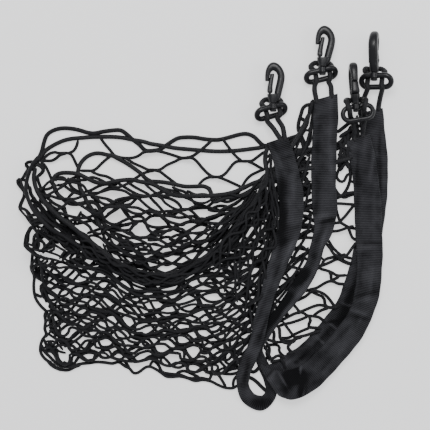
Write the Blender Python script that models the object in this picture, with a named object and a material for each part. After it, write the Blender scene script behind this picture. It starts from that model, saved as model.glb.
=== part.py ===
"""Elastic cargo net, lying folded: a mesh pocket with two bound ends and four swivel snap hooks.

The net is one rectangle of mesh. It is folded up at the bottom into a pocket and then folded in half
at the left, so four layers lie on each other. A sleeve of webbing binds each end of the rectangle, and
each of its two ends lets out a cord loop that carries a snap hook.
Tables are in millimetres. X runs to the right, Y away from the pocket's bottom, Z up from the floor.
"""
import math

import bpy
import numpy as np
from mathutils import Vector

MM = 0.001

# Middle of the finished footprint, which becomes the origin
FOOTPRINT_MIDDLE = (0.34, -0.89)

# Net: thickness of the mesh layer, spacing of the layers, and the resolution of its grid
NET_THICK = 2.0
PITCH = 4.8
Z_MID = NET_THICK / 2 + 1.5 * PITCH
R_OUTER = 1.5 * PITCH
R_INNER = 0.5 * PITCH
FLAT_STEPS = 15
FOLD_STEPS = 6
DEPTH_STEPS = 13
POCKET_STEPS = 3
EDGE_GAP = 1.3

# Cords
RIM_RADIUS = 2.2
LOOP_RADIUS = 2.25
RIM_OFFSET = NET_THICK / 2 + RIM_RADIUS + 0.8
CAP_GAP = 0.4

# Swivel snap hook: lengths along the swivel axis are counted from the middle of the eye's bored boss
EYE_BAR = 2.3
EYE_HALF_LENGTH = 15.0
EYE_HALF_HEIGHT = 6.6
BOSS_RADIUS = 5.2
BOSS_HALF = 3.4
BORE_RADIUS = 2.9
PIN_RADIUS = 2.3
NECK_RADIUS = 4.2
RUNNING_GAP = 0.3
GATE_PIVOT = (-3.0, 15.35)
CORD_LIFT = 5.4

# Left fold of the net, top to bottom
LEFT_FOLD = [  # x, y
    (-177, 58), (-185, 46), (-188, 37), (-182, 25), (-187, 11), (-177, -4), (-179, -25),
    (-171, -37), (-174, -50), (-172, -65), (-163, -90), (-162, -116), (-164, -132), (-159, -142),
]
OUTER_TOP_Y = 58
INNER_TOP_Y = 32

# Top edges of the four layers, each from its webbing sleeve to the left fold
TOP_FRONT_A = [  # x, y: the layer on top, whose edge sags deep
    (58, 66), (55, 40), (45, 13), (33, -8), (17, -25), (-5, -42), (-28, -52), (-55, -55), (-77, -50),
    (-100, -34), (-120, -18), (-142, -1), (-155, 12), (-163, 26), (-168, 44),
]
TOP_REAR_A = [
    (104, 106), (95, 88), (85, 72), (73, 58), (59, 43), (40, 29), (23, 25), (7, 22), (-22, 22),
    (-45, 30), (-64, 38), (-89, 37), (-115, 42), (-133, 45), (-147, 42), (-160, 35),
]
TOP_FRONT_B = [
    (135, 59), (120, 55), (95, 51), (70, 44), (50, 34), (30, 26), (7, 24), (-9, 31), (-41, 34),
    (-61, 39), (-75, 52), (-89, 60), (-105, 65), (-117, 61), (-127, 53), (-139, 45), (-152, 40), (-165, 36),
]
TOP_REAR_B = [
    (150, 90), (143, 77), (130, 68), (105, 65), (80, 64), (57, 70), (47, 78), (33, 79), (15, 74),
    (-2, 76), (-19, 77), (-33, 73), (-45, 65), (-57, 64), (-73, 74), (-84, 82), (-97, 84), (-111, 82),
    (-129, 86), (-145, 86), (-155, 80), (-163, 68),
]

# Bottom of the pocket, from the sleeve to the left fold: the end near each sleeve, then the shared run
POCKET_END_A = [(27, -153), (17, -157), (4, -156)]
POCKET_END_B = [(72, -130), (62, -123), (53, -124), (45, -134), (36, -148), (26, -158), (17, -161), (4, -157)]
POCKET_RUN = [
    (-11, -156), (-26, -152), (-49, -147), (-62, -144), (-76, -148), (-89, -142), (-105, -142),
    (-124, -146), (-141, -148),
]
CORNER_A = (33, -145)

# Largest gaps in the mesh: centre, length along X and height along Y
GAPS = [  # name, x, y, length, height
    ("rim_left", -143, 61.5, 26, 13),
    ("rim_mid", -116, 74.5, 28, 9),
    ("rim_right", -86, 72, 24, 11),
    ("under_rim", -92, 50.5, 28, 12),
    ("top_left", -50, 54, 32, 12),
    ("top_mid", -21, 50, 30, 18),
    ("top_right", 13, 58, 30, 16),
    ("top_end", 36, 45.5, 21, 13),
    ("side_high", 140, 5, 13, 20),
    ("side_mid", 138, -24, 18, 24),
    ("side_low", 129.5, -50, 21, 13),
    ("side_foot", 112, -88, 22, 12),
]

# Webbing sleeves: centre, width and thickness of each section, and the plan angle and tilt of its width
SLEEVE_A = [  # x, y, z, width, thick, across, tilt
    (72, 78, 15.4, 25, 4.0, 18, 0),
    (79, 60, 15.4, 25, 4.0, 16, 0),
    (84, 40, 15.4, 25, 4.0, 11, 0),
    (86, 18, 15.4, 25, 4.0, 2, 0),
    (85, -4, 15.4, 24, 4.0, -8, 0),
    (79, -27, 15.4, 22, 4.2, -16, 0),
    (71, -50, 15.4, 18, 4.6, -18, 0),
    (63, -74, 15.5, 15, 5.0, -16, 0),
    (56, -100, 15.8, 14, 5.2, -13, 0),
    (52, -120, 16.1, 14, 5.4, -14, 0),
    (45, -138, 15.8, 14, 5.4, -20, 0),
    (39, -153, 12.6, 13.5, 5.4, -12, 0),
    (38, -168, 6.8, 13, 5.4, 8, 0),
    (44, -181, 3.6, 14, 5.2, 42, 6),
    (57, -186, 3.6, 15, 5.2, 88, 8),
    (66, -177, 3.2, 13, 5.2, 140, 4),
    (65, -164, 2.8, 12, 5.2, 184, 0),
    (61.5, -150, 3.0, 12, 5.2, 192, 0),
    (58.5, -141, 4.6, 12, 5.2, 190, 0),
    (57.5, -131, 9.3, 13, 5.2, 175, 0),
    (62, -119, 10.2, 14, 5.0, 152, 0),
    (73, -100, 10.5, 18, 4.6, 143, 0),
    (85, -83, 10.6, 21, 4.2, 137, 0),
    (98, -65, 10.6, 20, 4.2, 140, 0),
    (108, -46, 10.6, 16, 4.4, 155, 0),
    (114, -28, 10.6, 17, 4.4, 163, 0),
    (119, -10, 10.6, 22, 4.2, 172, 0),
    (119.5, 13, 10.6, 25, 4.0, 179, 0),
    (118.5, 38, 10.6, 25, 4.0, 181, 0),
    (119, 68, 10.6, 25, 4.0, 179, 0),
    (120.5, 98, 10.6, 25, 4.0, 180, 0),
    (121, 121, 10.2, 24, 4.0, 196, 0),
]
SLEEVE_B = [  # x, y, z, width, thick, across, tilt
    (153, 80, 7.4, 25, 4.2, 18, 0),
    (157, 63, 7.4, 26, 4.2, 8, 0),
    (161, 38, 7.4, 26, 4.2, 4, 0),
    (163, 14, 7.4, 27, 4.4, 2, 0),
    (163.5, -10, 7.6, 27, 4.6, 1, 0),
    (165, -38, 7.9, 26, 5.0, -2, 0),
    (163, -70, 8.2, 25, 5.2, -10, 0),
    (157, -93, 8.6, 24, 5.4, -22, 0),
    (147, -112, 8.8, 25, 5.4, -33, 0),
    (131, -132, 9.0, 26, 5.4, -40, 0),
    (113, -151, 10.0, 26, 5.4, -46, 0),
    (101, -160, 12.2, 29, 5.2, -51, 0),
    (88, -165, 14.6, 32, 5.2, -56, 0),
    (77, -166, 15.8, 35, 5.2, -58, 0),
    (69, -163.4, 16.0, 36, 5.0, -58, 0),
    (65.5, -161.6, 12.7, 36, 5.0, -58, 0),
    (69, -163, 9.4, 36, 5.0, -58, 0),
    (78, -157.5, 9.0, 32, 5.0, -55, 0),
    (90, -148, 6.2, 28, 5.0, -50, 0),
    (103, -138, 3.2, 25, 5.0, -45, 0),
    (117, -124, 2.6, 25, 5.0, -42, 0),
    (132, -106, 2.6, 25, 5.0, -38, 0),
    (145, -87, 2.6, 25, 5.0, -30, 0),
    (154, -62, 2.5, 25, 4.8, -17, 0),
    (161, -37, 2.4, 25, 4.6, -12, 0),
    (166.5, -12, 2.3, 25, 4.4, -9, 0),
    (169, 8, 2.2, 25, 4.2, -6, 0),
    (171.5, 33, 2.2, 25, 4.2, -2, 0),
    (171, 63, 2.2, 25, 4.2, 3, 0),
    (168.5, 88, 2.2, 25, 4.2, 7, 0),
    (166.5, 108, 2.2, 25, 4.2, 12, 0),
]
# Sections of each sleeve whose left side holds the net, from the top of a layer down
SIDE_FRONT_A = list(range(0, 11))
SIDE_REAR_A = list(range(31, 18, -1))
SIDE_REAR_B = list(range(30, 18, -1))
SIDE_FRONT_B = [1, 2, 3, 4]
SIDE_FRONT_B_LOW = list(range(24, 18, -1))

# Hooks: swivel point, lean of the swivel axis, roll of the hook about it, and the eye's shift, tilt, roll and pitch
HOOKS = [  # x, y, z, lean, hook_roll, eye_shift, eye_tilt, eye_roll, eye_pitch
    (68, 111.5, 12.3, -1, 0, -2.6, 16, 10, 35),
    (117.3, 148, 12.3, 1, 0, -2.4, 14, 0, 35),
    (149.6, 110.5, 20.8, -3.7, 90, 1.0, 9, 0, 0),
    (168.5, 142, 14.6, 1, -109, 1.6, -1, -20, 25),
]
# Cord loops: whether the legs go over the eye's lower bar (1) or under it (-1), and for each leg where it
# leaves its sleeve, a point on its way, where it crosses that bar and where it bulges beside the neck
LOOPS = [  # over, then for the left and the right leg: start, way, bar, bulge
    (1, ((73.4, 81.1, 15.4), (67.8, 89.6, 14.8), -6.6, (-11.2, 4.0, -5.4)),
     ((78.8, 82.7, 15.4), (77.2, 91, 14.6), 4.4, (9.0, 3.4, -7.2))),
    (1, ((110.8, 120.2, 10.2), (109.4, 127.5, 10.6), -8.2, (-11.6, 3.6, -5.4)),
     ((126.3, 124.95, 10.2), (125.8, 131.5, 10.6), 5.8, (10.2, 4.0, -6.8))),
    (-1, ((149.4, 81.7, 7.6), (149.2, 87, 10.6), -5.6, (-8.8, 4.6, 2.4)),
     ((158.0, 84.6, 7.6), (158.0, 89, 10.8), 6.2, (10.0, 5.6, 3.0))),
    (1, ((157.0, 109.4, 2.6), (158.8, 118.4, 5.6), -8.2, (-9.0, 5.4, -5.4)),
     ((174.6, 113.2, 3.4), (175.4, 121, 9.0), 6.8, (11.4, 5.0, -5.4))),
]

# Snap hook up from the swivel: sections across the axis
HOOK_STEM = [  # side, along, width, depth
    (0, -6.3, 6.0, 6.0),
    (0, -5.8, 7.8, 7.8),
    (0, -3.92, 8.2, 8.2),
    (0, -3.9, 2 * PIN_RADIUS, 2 * PIN_RADIUS),
    (0, 3.9, 2 * PIN_RADIUS, 2 * PIN_RADIUS),
    (0, 3.92, 2 * NECK_RADIUS, 2 * NECK_RADIUS),
    (0.4, 5.6, 9.4, 8.8),
    (1.1, 7.8, 12.8, 9.2),
    (1.3, 10.6, 14.0, 9.4),
    (1.4, 12.0, 14.4, 9.4),
    (4.9, 12.02, 7.4, 9.4),
]
# Snap hook's spine, crown and nose, along the middle of the bar
HOOK_BAR = [  # side, along, width, depth
    (4.9, 12.02, 7.4, 9.4),
    (5.9, 16.5, 7.3, 9.4),
    (7.2, 21.5, 7.3, 9.4),
    (8.6, 27.5, 6.8, 9.2),
    (8.6, 31.8, 6.5, 9.2),
    (7.1, 36.0, 6.5, 9.0),
    (3.9, 39.3, 7.0, 8.8),
    (0.4, 40.2, 7.3, 8.4),
    (-2.8, 37.9, 6.3, 8.0),
    (-4.6, 34.0, 5.1, 7.2),
    (-5.3, 29.8, 4.5, 6.6),
    (-5.7, 25.8, 4.0, 6.2),
]
# Gate, from its rounded root at the pivot to its tip inside the nose
GATE_BAR = [  # side, along, width, depth
    (-3.0, 15.35, 5.8, 8.0),
    (-2.8, 19, 5.3, 7.8),
    (-2.0, 22.8, 4.8, 7.2),
    (-1.1, 25.6, 4.3, 6.8),
    (-0.7, 27.6, 4.0, 6.4),
    (-0.5, 29.0, 3.6, 5.8),
]


def clear_scene():
    for old in list(bpy.data.objects):
        bpy.data.objects.remove(old, do_unlink=True)


def principled(name, color, roughness):
    """One plain material with the part's colour and gloss."""
    material = bpy.data.materials.new(name)
    material.use_nodes = True
    shader = material.node_tree.nodes["Principled BSDF"]
    shader.inputs["Base Color"].default_value = (*color, 1.0)
    shader.inputs["Roughness"].default_value = roughness
    shader.inputs["Metallic"].default_value = 0.0
    return material


def link_mesh(name, verts_mm, faces, material, smooth=True):
    """Make an object from vertices in millimetres and link it to the scene."""
    mesh = bpy.data.meshes.new(name)
    mesh.from_pydata([tuple(float(c) * MM for c in v) for v in verts_mm], [], faces)
    mesh.validate()
    if smooth:
        mesh.shade_smooth()
        mesh.set_sharp_from_angle(angle=math.radians(40))
    mesh.materials.append(material)
    obj = bpy.data.objects.new(name, mesh)
    bpy.context.scene.collection.objects.link(obj)
    return obj


def smooth_rows(rows, per_span):
    """Catmull-Rom rows through the rows of a table, with all columns carried along."""
    pts = np.array(rows, dtype=float)
    padded = np.vstack([2 * pts[0] - pts[1], pts, 2 * pts[-1] - pts[-2]])
    out = []
    for k in range(len(pts) - 1):
        p0, p1, p2, p3 = padded[k:k + 4]
        for step in range(per_span):
            t = step / per_span
            out.append(0.5 * (2 * p1 + (p2 - p0) * t + (2 * p0 - 5 * p1 + 4 * p2 - p3) * t ** 2
                              + (3 * p1 - p0 - 3 * p2 + p3) * t ** 3))
    out.append(pts[-1])
    return np.array(out)


def even_curve(points, count):
    """Points spaced evenly along a smooth curve through the given points."""
    dense = smooth_rows(points, 12)
    steps = np.linalg.norm(np.diff(dense, axis=0), axis=1)
    length = np.concatenate([[0.0], np.cumsum(steps)])
    wanted = np.linspace(0.0, length[-1], count)
    return np.column_stack([np.interp(wanted, length, dense[:, k]) for k in range(dense.shape[1])])


def ring_faces(rings, sides, closed=False):
    """Quads between consecutive rings of vertices, with flat caps unless the run is closed."""
    faces = []
    last = rings if closed else rings - 1
    for i in range(last):
        a = i * sides
        b = ((i + 1) % rings) * sides
        for k in range(sides):
            n = (k + 1) % sides
            faces.append((a + k, a + n, b + n, b + k))
    if not closed:
        faces.append(tuple(reversed(range(sides))))
        faces.append(tuple(range((rings - 1) * sides, rings * sides)))
    return faces


def rounded_section(width, thick, sides, power):
    """A rounded rectangle as (across, up) pairs: a superellipse of the given power."""
    out = []
    for k in range(sides):
        angle = 2 * math.pi * (k + 0.5) / sides
        c, s = math.cos(angle), math.sin(angle)
        out.append((math.copysign(abs(c) ** (2 / power), c) * width / 2,
                    math.copysign(abs(s) ** (2 / power), s) * thick / 2))
    return out


def loft(name, centres, across, rising, sizes, material, sides=12, power=3.0, closed=False):
    """A solid through sections: each has a centre, two unit directions, and a width and thickness."""
    forward = np.array(centres[1]) - np.array(centres[0])
    turn = 1 if np.dot(np.cross(across[0], rising[0]), forward) > 0 else -1
    verts = []
    for centre, wide, up, (width, thick) in zip(centres, across, rising, sizes):
        for a, b in rounded_section(width, thick, sides, power):
            verts.append(np.array(centre) + turn * a * np.array(wide) + b * np.array(up))
    return link_mesh(name, verts, ring_faces(len(centres), sides, closed), material)


def cord(name, points, radius, material, ends_flat=2):
    """A round cord along the points: a poly curve with a bevel and filled caps."""
    curve = bpy.data.curves.new(name, "CURVE")
    curve.dimensions = "3D"
    curve.bevel_depth = radius * MM
    curve.bevel_resolution = ends_flat
    curve.use_fill_caps = True
    spline = curve.splines.new("POLY")
    spline.points.add(len(points) - 1)
    for slot, point in zip(spline.points, points):
        slot.co = (*[float(c) * MM for c in point], 1.0)
    obj = bpy.data.objects.new(name, curve)
    obj.data.materials.append(material)
    bpy.context.scene.collection.objects.link(obj)
    return obj


def as_cutter(obj):
    obj.hide_render = True
    obj.display_type = "WIRE"
    return obj


def boolean(obj, other, operation):
    mod = obj.modifiers.new(operation.lower(), "BOOLEAN")
    mod.operation = operation
    mod.solver = "EXACT"
    mod.object = as_cutter(other)


def unit(vector):
    vector = np.array(vector, dtype=float)
    return vector / np.linalg.norm(vector)


# ---------------------------------------------------------------- net

def sleeve_side(rows, picks, side):
    """Points just off the net's side of a sleeve, at the picked sections."""
    points = []
    for k in picks:
        x, y, z, width, thick, across, tilt = rows[k]
        reach = side * (width / 2 + EDGE_GAP)
        points.append((x + reach * math.cos(math.radians(across)), y + reach * math.sin(math.radians(across))))
    return points


def fold_axis(top_y):
    """The line that the left fold turns round, from the given height down to the pocket's bottom."""
    edge = even_curve(LEFT_FOLD, 60)
    edge = edge[edge[:, 1] <= top_y]
    return np.column_stack([edge[:, 0] + R_OUTER + NET_THICK / 2, edge[:, 1]])


class Layer:
    """One flat layer of the net: a patch between its top edge, the pocket, its sleeve and the fold."""

    def __init__(self, top, pocket, side, axis):
        corner_top, corner_low = side[0], side[-1]
        self.side = even_curve(side, 60)
        self.axis = even_curve(axis, 60)
        self.top = even_curve([corner_top] + top + [tuple(axis[0])], 120)
        self.pocket = even_curve([corner_low] + pocket + [tuple(axis[-1])], 120)

    @staticmethod
    def at(curve, t):
        place = t * (len(curve) - 1)
        k = min(int(place), len(curve) - 2)
        return curve[k] + (curve[k + 1] - curve[k]) * (place - k)

    def point(self, s, w):
        """s runs from the sleeve to the fold and w from the top edge to the pocket's bottom."""
        top, low = self.at(self.top, s), self.at(self.pocket, s)
        right, left = self.at(self.side, w), self.at(self.axis, w)
        corners = ((1 - s) * (1 - w) * self.top[0] + s * (1 - w) * self.top[-1]
                   + (1 - s) * w * self.pocket[0] + s * w * self.pocket[-1])
        return (1 - w) * top + w * low + (1 - s) * right + s * left - corners


def net_layers():
    outer_axis = fold_axis(OUTER_TOP_Y)
    inner_axis = fold_axis(INNER_TOP_Y)
    side_front_a = sleeve_side(SLEEVE_A, SIDE_FRONT_A, -1) + [CORNER_A]
    side_rear_a = sleeve_side(SLEEVE_A, SIDE_REAR_A, 1) + [CORNER_A]
    side_rear_b = sleeve_side(SLEEVE_B, SIDE_REAR_B, -1)
    side_front_b = sleeve_side(SLEEVE_B, SIDE_FRONT_B, -1) + sleeve_side(SLEEVE_B, SIDE_FRONT_B_LOW, -1)
    return {
        ("A", "outer"): Layer(TOP_FRONT_A, POCKET_END_A + POCKET_RUN, side_front_a, outer_axis),
        ("A", "inner"): Layer(TOP_REAR_A, POCKET_END_A + POCKET_RUN, side_rear_a, inner_axis),
        ("B", "outer"): Layer(TOP_REAR_B, POCKET_END_B + POCKET_RUN, side_rear_b, outer_axis),
        ("B", "inner"): Layer(TOP_FRONT_B, POCKET_END_B + POCKET_RUN, side_front_b, inner_axis),
    }


def place(flat, radius, half, turn):
    """Put a flat point on its layer, or on the left fold at the given turn in radians."""
    if half == "fold":
        return (flat[0] - radius * math.sin(turn), flat[1], Z_MID + radius * math.cos(turn))
    return (flat[0], flat[1], Z_MID + (radius if half == "A" else -radius))


def net_grid():
    """Middle surface of the folded net: rows go round the left fold, columns round the pocket."""
    layers = net_layers()
    stations = [("A", i / FLAT_STEPS, 0.0) for i in range(FLAT_STEPS + 1)]
    stations += [("fold", 1.0, math.pi * i / FOLD_STEPS) for i in range(1, FOLD_STEPS)]
    stations += [("B", 1 - i / FLAT_STEPS, math.pi) for i in range(FLAT_STEPS + 1)]
    grid = []
    for half, s, turn in stations:
        pick = "A" if half == "fold" else half
        outer, inner = layers[(pick, "outer")], layers[(pick, "inner")]
        row = [place(outer.point(s, j / DEPTH_STEPS), R_OUTER, half, turn) for j in range(DEPTH_STEPS)]
        low = outer.point(s, 1.0)
        out = unit(low - outer.point(s, 0.97)) + unit(low - inner.point(s, 0.97))
        for j in range(POCKET_STEPS + 1):
            bend = math.pi * j / POCKET_STEPS
            flat = low + unit(out) * PITCH / 2 * math.sin(bend)
            row.append(place(flat, (R_OUTER + R_INNER) / 2 + PITCH / 2 * math.cos(bend), half, turn))
        row += [place(inner.point(s, j / DEPTH_STEPS), R_INNER, half, turn)
                for j in range(DEPTH_STEPS - 1, -1, -1)]
        grid.append(row)
    return np.array(grid)


def thicken(grid, thick):
    """Closed solid of the given thickness about a grid of middle points."""
    along = np.gradient(grid, axis=0)
    across = np.gradient(grid, axis=1)
    normal = np.cross(along, across)
    normal /= np.linalg.norm(normal, axis=2, keepdims=True)
    rows, cols = grid.shape[:2]
    verts = np.concatenate([(grid + normal * thick / 2).reshape(-1, 3), (grid - normal * thick / 2).reshape(-1, 3)])
    under = rows * cols
    faces = []
    for i in range(rows - 1):
        for j in range(cols - 1):
            a, b, c, d = i * cols + j, (i + 1) * cols + j, (i + 1) * cols + j + 1, i * cols + j + 1
            faces.append((a, b, c, d))
            faces.append((under + d, under + c, under + b, under + a))
    border = [i * cols for i in range(rows)] + [(rows - 1) * cols + j for j in range(1, cols)]
    border += [i * cols + cols - 1 for i in range(rows - 2, -1, -1)] + list(range(cols - 2, 0, -1))
    for a, b in zip(border, border[1:] + border[:1]):
        faces.append((b, a, under + a, under + b))
    return verts, faces


def gap_cutter(material):
    """Upright six-sided prisms, one for each stated gap, in one cutter."""
    verts, faces = [], []
    for name, x, y, length, height in GAPS:
        base = len(verts)
        outline = [(length / 2, 0), (length / 4, height / 2), (-length / 4, height / 2),
                   (-length / 2, 0), (-length / 4, -height / 2), (length / 4, -height / 2)]
        for z in (-3, 2 * Z_MID + 4):
            verts += [(x + dx, y + dy, z) for dx, dy in outline]
        count = len(outline)
        faces.append(tuple(reversed(range(base, base + count))))
        faces.append(tuple(range(base + count, base + 2 * count)))
        for k in range(count):
            n = (k + 1) % count
            faces.append((base + k, base + n, base + count + n, base + count + k))
    return link_mesh("gap_cutter", verts, faces, material, smooth=False)


def make_net(material):
    grid = net_grid()
    verts, faces = thicken(grid, NET_THICK)
    net = link_mesh("net", verts, faces, material)
    boolean(net, gap_cutter(material), "DIFFERENCE")
    return grid


def rim_path(edge, inside, trim):
    """Route of a rim cord just outside an edge of the net, shortened at both ends."""
    along = np.gradient(edge, axis=0)
    along /= np.linalg.norm(along, axis=1, keepdims=True)
    out = edge - inside
    out -= along * np.sum(out * along, axis=1, keepdims=True)
    out /= np.linalg.norm(out, axis=1, keepdims=True)
    path = edge + out * RIM_OFFSET
    path[:, 2] = np.maximum(path[:, 2], RIM_RADIUS + 0.1)
    dense = even_curve(path, 400)
    steps = np.concatenate([[0.0], np.cumsum(np.linalg.norm(np.diff(dense, axis=0), axis=1))])
    kept = dense[(steps >= trim) & (steps <= steps[-1] - trim)]
    return even_curve(kept[::3], 66)


# ---------------------------------------------------------------- webbing sleeves

def make_sleeve(name, table, material):
    rows = smooth_rows(table, 2)
    centres = rows[:, :3]
    tangents = np.gradient(centres, axis=0)
    across, rising = [], []
    for row, tangent in zip(rows, tangents):
        angle, tilt = math.radians(row[5]), math.radians(row[6])
        wide = np.array([math.cos(angle) * math.cos(tilt), math.sin(angle) * math.cos(tilt), math.sin(tilt)])
        across.append(wide)
        rising.append(unit(np.cross(tangent, wide)))
    return loft(name, centres, across, rising, rows[:, 3:5], material, sides=12, power=3.2)


# ---------------------------------------------------------------- swivel snap hooks

class HookFrame:
    """Directions and placing for one hook set."""

    def __init__(self, row):
        x, y, z, lean, hook_roll, eye_shift, eye_tilt, eye_roll, eye_pitch = row
        self.pivot = np.array([x, y, z], dtype=float)
        self.eye_shift = eye_shift
        self.axis = self.turned(90 - lean)
        self.side = self.turned(-lean)
        self.up = np.array([0.0, 0.0, 1.0])
        roll = math.radians(hook_roll)
        self.hook_side = math.cos(roll) * self.side - math.sin(roll) * self.up
        self.hook_up = math.sin(roll) * self.side + math.cos(roll) * self.up
        self.eye_along = self.turned(90 + eye_tilt)
        flat = self.turned(eye_tilt)
        roll = math.radians(eye_roll)
        self.eye_side = math.cos(roll) * flat - math.sin(roll) * self.up
        self.eye_up = math.sin(roll) * flat + math.cos(roll) * self.up
        pitch = math.radians(eye_pitch)
        self.eye_along, self.eye_up = (math.cos(pitch) * self.eye_along + math.sin(pitch) * self.eye_up,
                                       math.cos(pitch) * self.eye_up - math.sin(pitch) * self.eye_along)
        self.eye_centre = self.pivot - EYE_HALF_HEIGHT * self.eye_along + eye_shift * self.eye_side

    @staticmethod
    def turned(degrees):
        return np.array([math.cos(math.radians(degrees)), math.sin(math.radians(degrees)), 0.0])

    def hook_point(self, side, along, up=0.0):
        return self.pivot + side * self.hook_side + along * self.axis + up * self.hook_up

    def neck_point(self, side, along, up):
        return self.pivot + side * self.side + along * self.axis + up * self.up

    def eye_point(self, side, along, up):
        return self.eye_centre + side * self.eye_side + along * self.eye_along + up * self.eye_up


def bar_sections(frame, rows, first_along):
    """Loft data for a bar in the hook's own plane."""
    centres, across, rising, sizes = [], [], [], []
    tangents = np.gradient(rows[:, :2], axis=0)
    if first_along:
        tangents[0] = (0.0, 1.0)
    for (side, along, width, depth), tangent in zip(rows, tangents):
        ts, ta = unit(tangent)
        centres.append(frame.hook_point(side, along))
        across.append(ta * frame.hook_side - ts * frame.axis)
        rising.append(frame.hook_up)
        sizes.append((width, depth))
    return centres, across, rising, sizes


def make_hook(name, frame, material):
    """Neck pin, base, spine, crown and nose as one bar of changing section."""
    stem = np.array(HOOK_STEM)[:-1]
    parts = []
    for side, along, width, depth in stem:
        parts.append((frame.hook_point(side, along), frame.hook_side, frame.hook_up, (width, depth)))
    parts += list(zip(*bar_sections(frame, smooth_rows(HOOK_BAR, 2), True)))
    tip = np.array(HOOK_BAR[-1])
    for back, scale in ((0.5, 0.86), (0.75, 0.55)):
        centre = frame.hook_point(tip[0], tip[1] - back)
        parts.append((centre, -frame.hook_side, frame.hook_up, (tip[2] * scale, tip[3] * scale)))
    centres, across, rising, sizes = zip(*parts)
    hook = loft(name, centres, across, rising, sizes, material, sides=12, power=2.6)
    return hook


def make_gate(name, frame, material):
    """Sprung gate: half-round root on its pivot, tapering to a tip inside the nose."""
    side, along, width, depth = GATE_BAR[0]
    rows = []
    for degrees in (-80, -58, -32):
        angle = math.radians(degrees)
        rows.append((side, along + width / 2 * math.sin(angle), width * math.cos(angle), depth))
    parts = [(frame.hook_point(s, a), frame.hook_side, frame.hook_up, (w, d)) for s, a, w, d in rows]
    parts += list(zip(*bar_sections(frame, smooth_rows(GATE_BAR, 2), True)))
    tip = GATE_BAR[-1]
    parts.append((frame.hook_point(tip[0], tip[1] + 0.5), frame.hook_side, frame.hook_up,
                  (tip[2] * 0.7, tip[3] * 0.8)))
    centres, across, rising, sizes = zip(*parts)
    return loft(name, centres, across, rising, sizes, material, sides=10, power=2.6)


def put_origin(obj, point_mm):
    """Move an object's origin to a point and keep its shape where it is."""
    point = Vector([float(c) * MM for c in point_mm])
    for vertex in obj.data.vertices:
        vertex.co -= point
    obj.location = point


def make_eye(name, frame, material):
    """D-eye: a long ring of round bar with a bored boss on its upper bar for the hook's neck pin."""
    bend = EYE_HALF_HEIGHT
    straight = EYE_HALF_LENGTH - bend
    centres, across, rising, sizes = [], [], [], []
    for centre_side, start in ((straight, -90), (-straight, 90)):
        for k in range(9):
            angle = math.radians(start + 180 * k / 8)
            out = (math.cos(angle), math.sin(angle))
            centres.append(frame.eye_point(centre_side + bend * out[0], bend * out[1], 0.0))
            across.append(out[0] * frame.eye_side + out[1] * frame.eye_along)
            rising.append(-frame.eye_up)
            sizes.append((2 * EYE_BAR, 2 * EYE_BAR))
    eye = loft(name, centres, across, rising, sizes, material, sides=10, power=2.2, closed=True)
    boss = axis_cylinder(name + "_boss", frame, BOSS_RADIUS, BOSS_HALF, material)
    boolean(eye, boss, "UNION")
    bore = axis_cylinder(name + "_bore", frame, BORE_RADIUS, 2 * BOSS_HALF, material)
    boolean(eye, bore, "DIFFERENCE")
    return eye


def axis_cylinder(name, frame, radius, half, material, sides=20):
    verts = []
    for along in (-half, half):
        for k in range(sides):
            angle = 2 * math.pi * k / sides
            verts.append(frame.neck_point(radius * math.cos(angle), along, -radius * math.sin(angle)))
    return link_mesh(name, verts, ring_faces(2, sides), material, smooth=False)


def loop_route(frame, row):
    """Route of a cord loop: up from the sleeve, through the eye, and behind the hook's neck."""
    over, left_leg, right_leg = row
    left = leg_route(frame, *left_leg, over, -1)
    right = leg_route(frame, *right_leg, over, 1)
    return left + [frame.neck_point(0.0, 5.6, -9.6)] + right[::-1]


def leg_route(frame, start, way, bar_side, bulge, over, hand):
    lift = over * CORD_LIFT
    beside_pin = hand * 7.3 - frame.eye_shift
    upper_side = (hand * 7.4 + bulge[0]) / 2
    behind = [frame.neck_point(hand * 9.3, 6.4, -4.2)] if over < 0 else []
    return [
        np.array(start, dtype=float),
        np.array(way, dtype=float),
        frame.eye_point(bar_side, -EYE_HALF_HEIGHT, lift),
        frame.eye_point((bar_side + 2 * beside_pin) / 3, -2.9, 0.78 * lift),
        frame.eye_point(beside_pin, 2.9, -0.78 * lift),
        frame.pivot + upper_side * frame.eye_side - lift * frame.eye_up,
        frame.neck_point(*bulge),
    ] + behind + [frame.neck_point(hand * 6.6, 7.8, -8.6)]


# ---------------------------------------------------------------- build

def build():
    clear_scene()
    mesh_black = principled("mesh_elastic", (0.016, 0.016, 0.018), 0.8)
    cord_black = principled("cord_elastic", (0.014, 0.014, 0.016), 0.75)
    webbing_black = principled("webbing", (0.020, 0.020, 0.023), 0.85)
    plastic_black = principled("hook_plastic", (0.018, 0.018, 0.020), 0.4)

    grid = make_net(mesh_black)
    cord("rim_outer", rim_path(grid[:, 0], grid[:, 1], 4.0), RIM_RADIUS, cord_black)
    cord("rim_inner", rim_path(grid[:, -1], grid[:, -2], 4.0), RIM_RADIUS, cord_black)
    make_sleeve("webbing_a", SLEEVE_A, webbing_black)
    make_sleeve("webbing_b", SLEEVE_B, webbing_black)

    for number, (row, loop_row) in enumerate(zip(HOOKS, LOOPS), start=1):
        frame = HookFrame(row)
        make_eye("eye_%d" % number, frame, plastic_black)
        cord("loop_%d" % number, even_curve(loop_route(frame, loop_row), 36), LOOP_RADIUS, cord_black)
        hook = make_hook("hook_%d" % number, frame, plastic_black)
        put_origin(hook, frame.pivot)
        gate = make_gate("gate_%d" % number, frame, plastic_black)
        put_origin(gate, frame.hook_point(*GATE_PIVOT))

    for obj in bpy.context.scene.collection.objects:
        obj.location.x -= FOOTPRINT_MIDDLE[0] * MM
        obj.location.y -= FOOTPRINT_MIDDLE[1] * MM


build()
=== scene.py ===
"""Looks of the folded cargo net: mesh strands, rim cords, webbing sleeves, cord loops and snap hooks.

Tables are in millimetres in the part's own layout; FOOTPRINT_MIDDLE is taken off to reach the shared
frame. X runs to the right, Y away from the pocket's bottom, Z up from the floor.
"""
import math

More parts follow.
